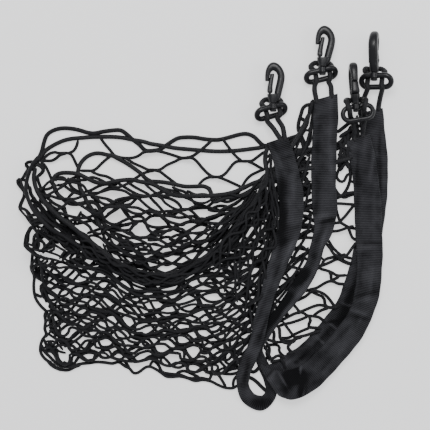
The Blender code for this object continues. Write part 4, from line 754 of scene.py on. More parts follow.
# Folds and dents in the faces of each sleeve, in its first half and in its second half
# Their heights also colour the webbing: troughs get painted shade and ridges are lighter. The deepest
# troughs, far past FOLD_LIMITS, are mostly painted shadow of flaps turned away from the light.
CREASES = {  # x, y, angle, half length, half width, height
    "sleeve_a": (
        [(71, 68, -62, 14, 2.5, -0.9), (76, 53, -70, 16, 3, 0.7), (81, 60, 20, 9, 2, -0.7),
         (75, 18, 84, 24, 5, -1.6), (77, -8, 80, 16, 5, -1.6), (86, 22, 84, 30, 3, 0.8),
         (79, -22, 60, 10, 4, -1.2), (83, -34, 64, 18, 2.2, 0.9), (68, -38, 66, 14, 2.5, 0.6),
         (69, -58, 66, 16, 2.2, -0.7), (61, -72, 70, 18, 2, 0.6), (55, -94, 74, 16, 2, -0.6),
         (49, -116, 72, 16, 2, 0.8), (57, -112, 70, 12, 1.6, -1), (41, -154, 80, 12, 2.4, -1.2),
         (57, -186, 0, 12, 6, -1.5)],
        [(125, 98, 88, 26, 3, 0.5), (113, 78, 86, 24, 3, -0.7), (126, 48, 92, 22, 3, 0.6),
         (112, 22, 84, 22, 4, -0.9), (122, -3, 14, 12, 1.8, -1.3), (117, 2, 14, 10, 2, 0.7),
         (113, -20, 64, 14, 3, -0.9), (117, -25, 74, 14, 2, 0.9), (108, -40, 70, 10, 3, -0.7),
         (94, -60, 38, 11, 5.5, -3.2), (81, -81, 50, 9, 4.6, -3.2), (71, -94, 52, 12, 4.2, -3.2),
         (104, -61, 58, 12, 2.6, 0.8), (93, -77, 46, 11, 2.4, 0.9), (81, -93, 50, 10, 2.2, 0.8),
         (61, -112, 60, 14, 3, -1.4)],
    ),
    "sleeve_b": (
        [(159, 68, 86, 14, 2.5, 0.6), (167, 53, 82, 26, 2, 0.8), (152, 46, 86, 18, 1.6, -0.7),
         (153, 22, 88, 22, 2.5, -0.7), (169, 6, 90, 30, 2.5, 0.6), (164, -25, 3, 13, 1.6, -0.75),
         (162, -30, 6, 12, 2.2, 0.8), (156, -52, 86, 16, 2.5, -0.5), (165, -64, 84, 18, 2.5, 0.8),
         (161, -76, 12, 12, 1.8, -0.75), (159, -82, 10, 10, 2, 0.7), (153, -94, -16, 12, 1.6, 0.9),
         (156, -100, -14, 12, 2, -0.75), (147, -112, 52, 20, 2.4, 0.7), (135, -132, 46, 20, 3, 0.7),
         (133, -120, 46, 20, 2.2, -0.6), (123, -144, 50, 20, 2.2, -0.9), (117, -154, 40, 16, 3, 0.6),
         (107, -166, 36, 14, 3, -0.5), (91, -158, 10, 11, 6, -2.6), (97, -170, 80, 9, 4, -2.4),
         (83, -166, 60, 10, 4, -2), (86, -152, 30, 8, 3, -2), (68, -154, 60, 14, 3, 0.5),
         (61, -164, 60, 14, 2.5, 0.8), (74, -176, 40, 12, 2.5, 0.6), (95, -154, 86, 7, 1.2, 2.6),
         (98, -174, 80, 8, 1.2, 2.2), (78, -162, -60, 9, 1.3, 1.6), (65, -154, 50, 10, 1.4, -1.3)],
        [(175, 68, 88, 20, 1.4, -0.9), (176, 38, 88, 20, 1.4, -0.9), (173, 3, 84, 20, 1.4, -0.8),
         (151, -66, 70, 14, 3, -1.2), (144, -82, 56, 12, 4, -1.3), (145, -88, -20, 8, 1.2, 1.8),
         (138, -100, 50, 12, 4, -1.4), (131, -110, -36, 8, 1.1, 1.8), (128, -104, 10, 9, 1.3, -1.6),
         (123, -116, 44, 14, 3, -1.2), (119, -126, -40, 8, 1.1, 1.6), (113, -127, 44, 12, 3, -1),
         (105, -134, 40, 10, 1.2, 1), (100, -138, 44, 10, 1.2, -1.8), (98, -142, 50, 10, 1, 1.4),
         (94, -143, 54, 9, 1.1, -1.8), (92, -146, 56, 8, 1, 1.2), (89, -148, 60, 8, 1.2, -1.8),
         (83, -144, 40, 8, 1.4, 0.8), (107, -143, 50, 12, 2.2, -1.6)],
    ),
}

# Guides that gathered strands run between, and their number: under the rim of the top layer, along it,
# and beside sleeve A
GATHERED = {
    "under": (
        [(-101, -8), (-93, -15), (-79, -22), (-65, -25), (-50, -25), (-33, -22), (-15, -16), (0, -10),
         (15, -2), (31, 10), (45, 24), (57, 38)],
        [(-104, -24), (-96, -36), (-84, -45), (-67, -53), (-47, -56), (-28, -54), (-9, -45), (6, -34),
         (19, -23), (33, -5), (45, 10), (57, 28)],
        14,
    ),
    "rim": (
        [(-126, -14), (-112, -26), (-94, -39), (-78, -48), (-55, -56), (-28, -54), (-9, -45), (13, -28),
         (29, -11), (40, 6), (52, 20), (60, 42)],
        [(-131, -28), (-115, -40), (-97, -49), (-78, -60), (-53, -67), (-24, -63), (0, -50), (22, -30),
         (37, -12), (49, 6), (58, 22), (66, 42)],
        6,
    ),
    "sleeve": (
        [(61, 52), (59, 38), (54, 22), (45, 8), (34, -6), (23, -18), (8, -34), (-4, -44)],
        [(66, 48), (71, 18), (72, -7), (68, -32), (61, -57), (53, -82), (48, -100), (42, -118)],
        13,
    ),
}

# Areas whose strands are listed one by one above: generated strands are cut away there
OPEN_TOP_AREA = [(64, 110), (64, 66)] + TOP_FRONT_A + [(-169, 60), (-190, 60), (-190, 110)]
LEFT_SIDE_AREA = [  # x, y
    (-197, 68), (-169, 54), (-167, 28), (-155, 12), (-143, 0), (-129, -14), (-121, -26), (-125, -36),
    (-137, -44), (-153, -44), (-167, -40), (-197, -40),
]
CORNER_AREA = [(-175, -118), (-150, -118), (-142, -128), (-142, -160), (-175, -160)]
OPEN_SIDE_AREA = [  # x, y
    (123, 68), (125, 28), (122, -4), (118, -25), (108, -44), (100, -62), (92, -80), (81, -94), (69, -108),
    (61, -122), (57, -134), (61, -154), (87, -156), (95, -134), (113, -124), (127, -107), (137, -87),
    (146, -70), (152, -44), (154, -7), (152, 68),
]


# ---------------------------------------------------------------- curves and tubes

def unit(vector):
    vector = np.array(vector, dtype=float)
    return vector / np.linalg.norm(vector)


def smooth_rows(rows, per_span):
    """Catmull-Rom rows through the rows of a table, with all columns carried along."""
    pts = np.array(rows, dtype=float)
    padded = np.vstack([2 * pts[0] - pts[1], pts, 2 * pts[-1] - pts[-2]])
    t = (np.arange(per_span) / per_span)[None, :, None]
    p0, p1, p2, p3 = [padded[k:k + len(pts) - 1, None, :] for k in range(4)]
    spans = 0.5 * (2 * p1 + (p2 - p0) * t + (2 * p0 - 5 * p1 + 4 * p2 - p3) * t ** 2
                   + (3 * p1 - p0 - 3 * p2 + p3) * t ** 3)
    return np.vstack([spans.reshape(-1, pts.shape[1]), pts[-1:]])


def run_lengths(points):
    """Distance of each point along the line, from its start."""
    steps = np.linalg.norm(np.diff(points, axis=0), axis=1)
    return np.concatenate([[0.0], np.cumsum(steps)])


def resample(points, count):
    """So many points, evenly spaced along a smooth curve through the given ones."""
    dense = smooth_rows(points, CURVE_STEPS)
    length = run_lengths(dense)
    wanted = np.linspace(0.0, length[-1], count)
    return np.column_stack([np.interp(wanted, length, dense[:, k]) for k in range(dense.shape[1])])


def even_curve(points, step):
    """Points about one step apart along a smooth curve through the given ones."""
    length = run_lengths(smooth_rows(points, CURVE_STEPS))[-1]
    return resample(points, max(3, int(round(length / step)) + 1))


def soften(values, passes):
    """Running average of a line of values with its ends held."""
    values = np.array(values, dtype=float)
    for _ in range(passes):
        values[1:-1] = 0.25 * values[:-2] + 0.5 * values[1:-1] + 0.25 * values[2:]
    return values


def directions(points):
    """Unit direction of the line at each point."""
    tangents = np.gradient(points, axis=0)
    return tangents / np.linalg.norm(tangents, axis=1, keepdims=True)


def carried_frames(points):
    """Two directions square to the line at each point, carried along it without twist."""
    tangents = directions(points)
    first = np.array([0.0, 0.0, 1.0]) if abs(tangents[0][2]) < 0.9 else np.array([0.0, 1.0, 0.0])
    normal = unit(first - tangents[0] * np.dot(first, tangents[0]))
    normals = []
    for tangent in tangents:
        normal = normal - tangent * np.dot(normal, tangent)
        normal = normal / np.linalg.norm(normal)
        normals.append(normal)
    normals = np.array(normals)
    return normals, np.cross(tangents, normals)


class Shape:
    """Vertices, faces and a length-wise UV map gathered for one object."""

    def __init__(self):
        self.verts, self.faces, self.uvs = [], [], []
        self.count = 0

    def grid(self, rings, u, v, closed=False):
        """Quads over an array of rings (rings, sides, 3) with u round each ring and v along them. Both
        ends are capped, unless the last ring is closed onto the first."""
        n, sides = rings.shape[:2]
        base = self.count
        self.verts.append(rings.reshape(-1, 3))
        self.count += n * sides
        rows = np.arange(n if closed else n - 1)
        k, next_k = np.arange(sides), (np.arange(sides) + 1) % sides
        here, there = base + rows[:, None] * sides, base + ((rows[:, None] + 1) % n) * sides
        quads = np.stack([here + k, here + next_k, there + next_k, there + k], axis=-1)
        self.faces.append(quads.reshape(-1, 4))
        size = quads.shape[:2]
        v_end = np.append(v, v[-1] + (v[-1] - v[-2]))
        u0, u1 = np.broadcast_to(u[:-1], size), np.broadcast_to(u[1:], size)
        v0, v1 = [np.broadcast_to(v_end[rows + on][:, None], size) for on in (0, 1)]
        corners = [np.stack(pair, -1) for pair in ((u0, v0), (u1, v0), (u1, v1), (u0, v1))]
        self.uvs.append(np.stack(corners, axis=2).reshape(-1, 2))
        if closed:
            return
        for end in (0, -1):
            ring = base + (end % n) * sides + k
            self.verts.append(rings[end].mean(axis=0)[None, :])
            hub = np.full(sides, self.count)
            self.count += 1
            edge = (np.roll(ring, -1), ring) if end == 0 else (ring, np.roll(ring, -1))
            self.faces.append(np.stack([*edge, hub], axis=-1))
            self.uvs.append(np.tile([[u[0], v[end]]], (3 * sides, 1)))

    def tube(self, points, radius, sides):
        """A round length along the points, narrowed at both ends."""
        normals, sideways = carried_frames(points)
        radii = np.full(len(points), float(radius))
        radii[[0, -1]] *= TUBE_END
        angles = 2 * np.pi * np.arange(sides) / sides
        rings = (points[:, None, :] + radii[:, None, None]
                 * (np.cos(angles)[None, :, None] * normals[:, None, :]
                    + np.sin(angles)[None, :, None] * sideways[:, None, :]))
        around = np.linspace(0.0, 2 * np.pi * float(np.mean(radii)), sides + 1)
        self.grid(rings, around, run_lengths(points))

    def build(self, name, material, sharp=None):
        """The object of that name, smooth apart from edges over the sharp angle."""
        verts = np.concatenate(self.verts) - FOOTPRINT_MIDDLE
        mesh = bpy.data.meshes.new(name)
        mesh.vertices.add(len(verts))
        mesh.vertices.foreach_set("co", (verts * MM).astype(np.float32).ravel())
        sizes = np.concatenate([np.full(len(f), f.shape[1]) for f in self.faces])
        loops = np.concatenate([f.ravel() for f in self.faces])
        mesh.loops.add(len(loops))
        mesh.loops.foreach_set("vertex_index", loops.astype(np.int32))
        mesh.polygons.add(len(sizes))
        starts = np.concatenate([[0], np.cumsum(sizes)[:-1]])
        mesh.polygons.foreach_set("loop_start", starts.astype(np.int32))
        mesh.update(calc_edges=True)
        layer = mesh.uv_layers.new(name="run")
        layer.data.foreach_set("uv", np.concatenate(self.uvs).astype(np.float32).ravel())
        mesh.validate()
        mesh.shade_smooth()
        if sharp:
            mesh.set_sharp_from_angle(angle=math.radians(sharp))
        mesh.materials.append(material)
        obj = bpy.data.objects.new(name, mesh)
        bpy.context.scene.collection.objects.link(obj)
        return obj

    def area(self):
        """Surface in square metres."""
        verts = np.concatenate(self.verts) * MM
        total = 0.0
        for faces in self.faces:
            a, b, c = verts[faces[:, 0]], verts[faces[:, 1]], verts[faces[:, 2]]
            total += 0.5 * np.linalg.norm(np.cross(b - a, c - a), axis=1).sum()
            if faces.shape[1] == 4:
                d = verts[faces[:, 3]]
                total += 0.5 * np.linalg.norm(np.cross(c - a, d - a), axis=1).sum()
        return total


def rounded_section(sides, power):
    """A rounded square of half width 1 as (across, up) pairs: a superellipse of the given power."""
    angles = 2 * np.pi * (np.arange(sides) + 0.5) / sides
    c, s = np.cos(angles), np.sin(angles)
    return np.stack([np.sign(c) * np.abs(c) ** (2 / power), np.sign(s) * np.abs(s) ** (2 / power)], axis=1)


def loft(shape, sections, sides, power, ridge=0.0):
    """Rings through sections, each a centre, two unit directions, and a width and thickness. A ridge
    stands out along the middle of both sides, as a mould's parting line does."""
    centres, across, rising, sizes = [np.array(column, dtype=float) for column in zip(*sections)]
    forward = centres[1] - centres[0]
    turn = 1 if np.dot(np.cross(across[0], rising[0]), forward) > 0 else -1
    outline = rounded_section(sides, power)
    a = outline[:, 0][None, :] * sizes[:, 0][:, None] / 2
    b = outline[:, 1][None, :] * sizes[:, 1][:, None] / 2
    if ridge:
        middle = np.abs(outline[:, 1]) < RIDGE_SHARE
        a = a + np.where(middle, np.sign(outline[:, 0]) * ridge, 0.0)[None, :]
    rings = (centres[:, None, :] + turn * a[:, :, None] * across[:, None, :]
             + b[:, :, None] * rising[:, None, :])
    around = np.linspace(0.0, 2 * float(np.mean(sizes.sum(axis=1))), sides + 1)
    shape.grid(rings, around, run_lengths(centres))


# ---------------------------------------------------------------- lengths lying on each other

class Pile:
    """Height reached so far, on a grid of one millimetre, as lengths are laid from the floor up."""

    def __init__(self):
        self.top = np.zeros(PILE_SIZE)
        self.before = self.top.copy()

    def cells(self, xy):
        """Cells of the grid that points lie in."""
        return np.clip(np.rint(xy - PILE_CORNER).astype(int), 0, np.array(PILE_SIZE) - 1)

    def next_layer(self):
        """Let what comes now rest on all that lies here."""
        self.before = self.top.copy()

    def rest(self, xy, radius):
        """Heights at which a length rests on what lay there before this layer."""
        along = np.gradient(xy, axis=0)
        along /= np.maximum(np.linalg.norm(along, axis=1, keepdims=True), 1e-6)
        square = np.column_stack([-along[:, 1], along[:, 0]])
        under = np.zeros(len(xy))
        for shift in REST_SHIFTS:
            cells = self.cells(xy + square * radius * shift)
            under = np.maximum(under, self.before[cells[:, 0], cells[:, 1]] - REST_DROP * abs(shift))
        z = under + radius
        climb = CLIMB * run_lengths(xy)
        rising = np.maximum.accumulate(z + climb) - climb
        falling = (np.maximum.accumulate((z - climb)[::-1])[::-1]) + climb
        return soften(np.maximum(rising, falling), REST_PASSES)

    def lay(self, xy, z, radius):
        """Raise the grid to the top of a length."""
        for dx in (-1, 0, 1):
            for dy in (-1, 0, 1):
                off = dx * dx + dy * dy
                if off > radius ** 2:
                    continue
                cells = self.cells(xy + np.array([dx, dy]))
                drop = radius - math.sqrt(radius ** 2 - off)
                np.maximum.at(self.top, (cells[:, 0], cells[:, 1]), z + radius - drop)

    def lay_route(self, route, radius, end=None):
        """Lay one route and return its points. It may come to a given height at its end."""
        xy = even_curve(route, STRAND_STEP)
        z = fade(self.rest(xy, radius), run_lengths(xy), None, end, HAND_FADE)
        self.lay(xy, z, radius)
        return np.column_stack([xy, z])

    def lay_routes(self, routes, radius, apart=False):
        """Lay many, beside each other or, where they cross often, one upon the other."""
        laid = []
        for route in routes:
            laid.append(self.lay_route(route, radius))
            if apart:
                self.next_layer()
        return laid


def fade(z, run, start, end, reach):
    """Lead a line's heights to given ones at its two ends; None leaves an end as it is."""
    for target, distance in ((start, run), (end, run[-1] - run)):
        if target is None:
            continue
        k = np.clip(1 - distance / reach, 0.0, 1.0)
        k = k * k * (3 - 2 * k)
        z = z * (1 - k) + target * k
    return z


# ---------------------------------------------------------------- layers of the net

def sleeve_side(rows, picks, side):
    """Points just off the net's side of a sleeve, at the picked sections."""
    points = []
    for k in picks:
        x, y, _, width, _, across, _ = rows[k]
        reach, turn = side * (width / 2 + EDGE_GAP), math.radians(across)
        points.append((x + reach * math.cos(turn), y + reach * math.sin(turn)))
    return points


def fold_axis(top_y):
    """The line that the left fold turns round, from the given height down to the pocket's bottom."""
    edge = resample(LEFT_FOLD, SIDE_POINTS)
    edge = edge[edge[:, 1] <= top_y]
    return np.column_stack([edge[:, 0] + FOLD_INSET, edge[:, 1]])


class Layer:
    """One flat layer of the net: a patch between its top edge, the pocket, its sleeve and the fold."""

    def __init__(self, top, pocket, side, axis):
        self.side = resample(side, SIDE_POINTS)
        self.axis = resample(axis, SIDE_POINTS)
        self.top = resample([side[0]] + top + [tuple(axis[0])], EDGE_POINTS)
        self.pocket = resample([side[-1]] + pocket + [tuple(axis[-1])], EDGE_POINTS)

    @staticmethod
    def at(curve, t):
        place = np.clip(t, 0.0, 1.0) * (len(curve) - 1)
        k = np.minimum(place.astype(int), len(curve) - 2)
        return curve[k] + (curve[k + 1] - curve[k]) * (place - k)[:, None]

    def points(self, s, w):
        """s runs from the sleeve to the fold and w from the top edge to the pocket's bottom."""
        top, low = self.at(self.top, s), self.at(self.pocket, s)
        right, left = self.at(self.side, w), self.at(self.axis, w)
        s, w = s[:, None], w[:, None]
        corners = ((1 - s) * (1 - w) * self.top[0] + s * (1 - w) * self.top[-1]
                   + (1 - s) * w * self.pocket[0] + s * w * self.pocket[-1])
        return (1 - w) * top + w * low + (1 - s) * right + s * left - corners


def net_layers():
    """Layers of both sheets: those in front end in sleeve A and those behind in sleeve B."""
    outer_axis, inner_axis = fold_axis(OUTER_TOP_Y), fold_axis(INNER_TOP_Y)
    front_a = sleeve_side(SLEEVE_A, SIDE_FRONT_A, -1) + [CORNER_A]
    rear_a = sleeve_side(SLEEVE_A, SIDE_REAR_A, 1) + [CORNER_A]
    rear_b = sleeve_side(SLEEVE_B, SIDE_REAR_B, -1)
    front_b = sleeve_side(SLEEVE_B, SIDE_FRONT_B, -1) + sleeve_side(SLEEVE_B, SIDE_FRONT_B_LOW, -1)
    pocket_a, pocket_b = POCKET_END_A + POCKET_RUN, POCKET_END_B + POCKET_RUN
    return {
        "A_outer": Layer(TOP_FRONT_A, pocket_a, front_a, outer_axis),
        "A_inner": Layer(TOP_REAR_A, pocket_a, rear_a, inner_axis),
        "B_outer": Layer(TOP_REAR_B, pocket_b, rear_b, outer_axis),
        "B_inner": Layer(TOP_FRONT_B, pocket_b, front_b, inner_axis),
    }


def strand_line(layer, row, rng, waves, crowd):
    """Plan route of one strand of a layer, from its sleeve to the fold: it meets the next strand up
    and the next one down by turns, and lies beside it at each meeting."""
    s_list, w_list = [], []
    span = 1.0 / LAYER_COLUMNS
    for column in range(LAYER_COLUMNS + 1):
        s = min(column * span, 1.0)
        up = 1 if (row + column) % 2 else -1
        w = (row + 0.5 + 0.5 * up) / LAYER_ROWS
        low, high = layer.points(np.array([s, s]), np.array([0.0, 1.0]))
        depth = max(np.linalg.norm(high - low), LEAST_DEPTH)
        left, right = layer.points(np.array([0.0, 1.0]), np.array([w, w]))
        reach = JUNCTION_HALF / max(np.linalg.norm(right - left), LEAST_WIDTH)
        w = w - up * STRAND_RADIUS * JUNCTION_ASIDE / depth
        for s_here in (s - reach, s + reach):
            if 0.0 <= s_here <= 1.0:
                s_list.append(s_here)
                w_list.append(w)
        if column < LAYER_COLUMNS:
            s_list.append(s + span * (0.5 + rng.normal(0, STRAY[0])))
            w_list.append((row + 0.5 + rng.normal(0, STRAY[1])) / LAYER_ROWS)
    s_all = np.array([0.0] + s_list + [1.0])
    w_all = np.clip(np.array([w_list[0]] + w_list + [w_list[-1]]), 0.0, 1.0) ** crowd
    xy = layer.points(s_all, w_all)
    free = ((1 - s_all ** 6) * (1 - (1 - s_all) ** 8)
            * np.clip(6 * w_all, 0, 1) * np.clip(8 * (1 - w_all), 0, 1))
    away = xy[:, 1] - np.interp(xy[:, 0], GATHER_LINE[:, 0], GATHER_LINE[:, 1])
    pull = (GATHER * np.exp(-(away / GATHER_REACH) ** 2)
            * np.clip((xy[:, 0] - GATHER_LINE[0, 0]) / GATHER_FADE, 0, 1)
            * np.clip((GATHER_LINE[-1, 0] - xy[:, 0]) / GATHER_FADE, 0, 1))
    xy[:, 1] -= away * pull * free
    for kx, ky, phase, ax, ay in waves:
        swing = np.sin(kx * xy[:, 0] + ky * xy[:, 1] + phase) * free
        xy = xy + np.column_stack([ax * swing, ay * swing])
    return even_curve(xy, STRAND_STEP)


def random_waves(rng):
    """Slow sideways waves shared by all the strands of a layer."""
    waves = []
    for _ in range(WAVE_COUNT):
        length = rng.uniform(*WAVE_LENGTHS)
        angle = rng.uniform(0, 2 * math.pi)
        k = 2 * math.pi / length
        turn = rng.uniform(0, 2 * math.pi)
        waves.append((k * math.cos(angle), k * math.sin(angle), rng.uniform(0, 2 * math.pi),
                      WAVE_SIZE * math.cos(turn), WAVE_SIZE * math.sin(turn)))
    return waves


def inside(xy, outline):
    """Which points lie within a closed outline."""
    outline = np.array(outline, dtype=float)
    hit = np.zeros(len(xy), dtype=bool)
    for (x1, y1), (x2, y2) in zip(outline, np.roll(outline, -1, axis=0)):
        crosses = (y1 > xy[:, 1]) != (y2 > xy[:, 1])
        if y1 != y2:
            hit ^= crosses & (xy[:, 0] < (x2 - x1) * (xy[:, 1] - y1) / (y2 - y1) + x1)
    return hit


def runs_of(mask):
    """Start and end of each run of True values."""
    edges = np.flatnonzero(np.diff(np.concatenate([[0], mask.astype(int), [0]])))
    return list(zip(edges[::2], edges[1::2]))


def fold_arc(front, rear, bulge):
    """Points of a strand round the left fold, from its end on an upper layer to one below."""
    middle, radius = (front[2] + rear[2]) / 2, max((front[2] - rear[2]) / 2, 1.5)
    arc = []
    for k in range(1, ARC_STEPS):
        turn = math.pi * k / ARC_STEPS
        t = k / ARC_STEPS
        arc.append([(1 - t) * front[0] + t * rear[0] - (radius + bulge) * math.sin(turn),
                    (1 - t) * front[1] + t * rear[1], middle + radius * math.cos(turn)])
    return np.array(arc)


# ---------------------------------------------------------------- net

def gathered(pile, name, rng):
    """Strands drawn out between two guides: neighbours meet and part, as a stretched mesh does."""
    first, second, count = GATHERED[name]
    first, second = resample(first, EDGE_POINTS), resample(second, EDGE_POINTS)
    t = np.linspace(0, 1, EDGE_POINTS)
    out = []
    cells = run_lengths(first)[-1] / GATHER_CELL
    for sheet in range(2):
        phase = rng.uniform() + GATHER_DRIFT_SIZE * np.sin(
            2 * math.pi * (rng.uniform(*GATHER_DRIFT) * t + rng.uniform()))
        number = (count + 1 - sheet) // 2
        for k in range(number):
            size = rng.uniform(*GATHER_SWING) / number
            share = (k + 0.5) / number + size * (-1) ** k * np.sin(2 * math.pi * (cells / 2 * t + phase))
            share = share + GATHER_STRAY_SIZE * np.sin(
                2 * math.pi * (rng.uniform(*GATHER_STRAY) * t + rng.uniform()))
            share = np.clip(share, *GATHER_LIMITS)[:, None]
            xy = (1 - share) * first + share * second
            start, end = [int(rng.uniform(*ends) * (EDGE_POINTS - 1)) for ends in GATHER_ENDS]
            out.append(pile.lay_route(xy[start:end + 1:3], GATHER_RADIUS))
        pile.next_layer()
    return out


def meet(line, anchors, at_start, at_end):
    """Lead the cut ends of a strand to the nearest of the lengths that were not cut, if it is near."""
    for wanted, last in ((at_start, 0), (at_end, -1)):
        if not wanted:
            continue
        gaps = np.linalg.norm(anchors[:, :2] - line[last][:2], axis=1)
        if gaps.min() < MEET_REACH:
            goal = anchors[np.argmin(gaps)]
            steps = max(int(gaps.min() / STRAND_STEP), 1)
            way = np.array([line[last] + (goal - line[last]) * k / steps for k in range(1, steps + 1)])
            line = np.vstack([way[::-1], line]) if last == 0 else np.vstack([line, way])
    return line


def lay_layer(pile, name, routes):
    """Lay the generated strands of a layer: route, heights and the points that stay, of each."""
    strands = []
    for xy in routes:
        z = fade(pile.rest(xy, STRAND_RADIUS), run_lengths(xy), SLEEVE_HEIGHTS[name], None, SLEEVE_FADE)
        keep = ~inside(xy, LEFT_SIDE_AREA)
        if name != "A_outer":
            keep &= ~inside(xy, OPEN_TOP_AREA)
            keep &= ~inside(xy, CORNER_AREA)
        if name.startswith("B"):
            keep &= ~inside(xy, OPEN_SIDE_AREA)
        if keep.any():
            pile.lay(xy[keep], z[keep], STRAND_RADIUS)
        strands.append((np.column_stack([xy, z]), keep))
    return strands


def join_layers(front_strands, rear_strands, anchors, rng):
    """Strands of a sheet from its front layer round the left fold to its rear one, cut where they are
    listed one by one, with their cut ends led to those."""
    lines = []
    for (front, _), (rear, keep_rear) in zip(front_strands, rear_strands):
        rear = rear[::-1]
        whole = np.vstack([front, fold_arc(front[-1], rear[0], rng.normal(*FOLD_BULGE)), rear])
        keep = ~inside(whole[:, :2], LEFT_SIDE_AREA)
        keep[-len(rear):] &= keep_rear[::-1]
        for start, end in runs_of(keep):
            if end - start > 3:
                lines.append(meet(whole[start:end], anchors, start > 0, end < len(whole)))
    return lines


def make_net():
    """All strands of the net, laid layer on layer from the floor up, and the routes of its rim cords."""
    rng = np.random.default_rng(NET_SEED)
    layers = net_layers()
    waves = {name: random_waves(rng) for name in layers}
    routes = {name: [strand_line(layer, row, rng, waves[name], CROWDING[name]) for row in range(LAYER_ROWS)]
              for name, layer in layers.items()}
    pile = Pile()
    strands, rims = {}, {}
    for name in SLEEVE_HEIGHTS:
        pile.next_layer()
        strands[name] = lay_layer(pile, name, routes[name])
        if name == "B_outer":
            rims["selvedge_rear"] = pile.lay_route(
                SELVEDGE_TOP + SELVEDGE_RIGHT, SELVEDGE_RADIUS, SELVEDGE_END)
            rims["elastic"] = pile.lay_route(ELASTIC_TOP + ELASTIC_RIGHT, ELASTIC_RADIUS, ELASTIC_END)
        if name == "B_inner":
            pile.next_layer()
            single = pile.lay_routes(EDGE_STRANDS, STRAND_RADIUS)
            single += pile.lay_routes(OPEN_STRANDS + SIDE_STRANDS, OPEN_RADIUS, apart=True)
            thick = pile.lay_routes(TWIST_STRANDS, TWIST_RADIUS)
            drawn = pile.lay_routes(FOLD_STRANDS, GATHER_RADIUS, apart=True)
            pile.next_layer()
            slack = pile.lay_route(INNER_RIM_SLACK, RIM_RADIUS)
            pile.next_layer()
            back = pile.lay_route(INNER_RIM_BACK + INNER_RIM_REAR + INNER_RIM_REAR_RIGHT, RIM_RADIUS)
            rims["inner_rear"] = np.vstack([slack, back[1:]])
            rims["inner_rear"][:, 2] = soften(rims["inner_rear"][:, 2], RIM_PASSES)
        if name == "A_inner":
            drawn += gathered(pile, "under", rng)
            rims["inner_front"] = pile.lay_route(
                INNER_RIM_FRONT_LEFT + INNER_RIM_FRONT + INNER_RIM_FRONT_RIGHT, RIM_RADIUS)
        if name == "A_outer":
            pile.next_layer()
            rims["outer"] = pile.lay_route(TOP_FRONT_A, RIM_RADIUS)
            rims["selvedge_front"] = pile.lay_route(FRONT_SELVEDGE, FRONT_SELVEDGE_RADIUS)
            pile.next_layer()
            drawn += gathered(pile, "rim", rng) + gathered(pile, "sleeve", rng)

    anchors = np.vstack(single + drawn + [rims[name] for name in (
        "inner_rear", "inner_front", "outer", "selvedge_rear", "elastic")])
    lines = (join_layers(strands["A_outer"], strands["B_outer"], anchors, rng)
             + join_layers(strands["A_inner"], strands["B_inner"], anchors, rng))
    net = Shape()
    for line in lines:
        line[:, 2] = np.maximum(line[:, 2], STRAND_RADIUS + FLOOR_CLEAR)
        net.tube(line, STRAND_RADIUS * rng.uniform(*STRAND_SPREAD), THIN_SIDES)
    front, rear = [rims["selvedge_front"]], [rims["selvedge_rear"]]
    for group, radius, sides in (
            (single, OPEN_RADIUS * OPEN_DRAWN, THIN_SIDES), (thick, TWIST_RADIUS, THICK_SIDES),
            (drawn, GATHER_RADIUS, THIN_SIDES), (front, FRONT_SELVEDGE_RADIUS, THICK_SIDES),
            (rear, SELVEDGE_RADIUS, THICK_SIDES)):
        for line in group:
            net.tube(line, radius, sides)
    return net, rims


# ---------------------------------------------------------------- webbing sleeves

def crease(xy, x, y, angle, length, width, size):
    """Height of one soft ridge or trough at each point."""
    turn = math.radians(angle)
    along = (xy[..., 0] - x) * math.cos(turn) + (xy[..., 1] - y) * math.sin(turn)
    aside = (xy[..., 1] - y) * math.cos(turn) - (xy[..., 0] - x) * math.sin(turn)
    return size * np.exp(-(along / length) ** 2 - (aside / width) ** 2)


def creases(xy, share, name, rng):
    """Height of the soft folds and dents in a sleeve's faces: those listed and many slight ones."""
    second = np.clip((share - 0.5) / 0.02 + 0.5, 0, 1)[:, None]
    first_rows, second_rows = CREASES[name]
    height = (1 - second) * sum(crease(xy, *row) for row in first_rows)
    height += second * sum(crease(xy, *row) for row in second_rows)
    limits = [(xy[..., 0].min(), xy[..., 0].max()), (xy[..., 1].min(), xy[..., 1].max()),
              *SLIGHT_LIMITS]
    slight = zip(*[rng.uniform(low, high, SLIGHT_CREASES) for low, high in limits])
    return height + sum(crease(xy, *row) for row in slight)


def turned_in(centre, inward, a, b, wide, up):
    """Rings that carry a sleeve's end ring back inside, as the mouth of a tube does."""
    rings = []
    for depth, shrink, _ in MOUTH:
        side = a - np.sign(a) * np.minimum(np.abs(a), (1 - shrink) * 8)
        rings.append(centre + inward * depth + side[:, None] * wide + (b * shrink ** 2)[:, None] * up)
    return rings


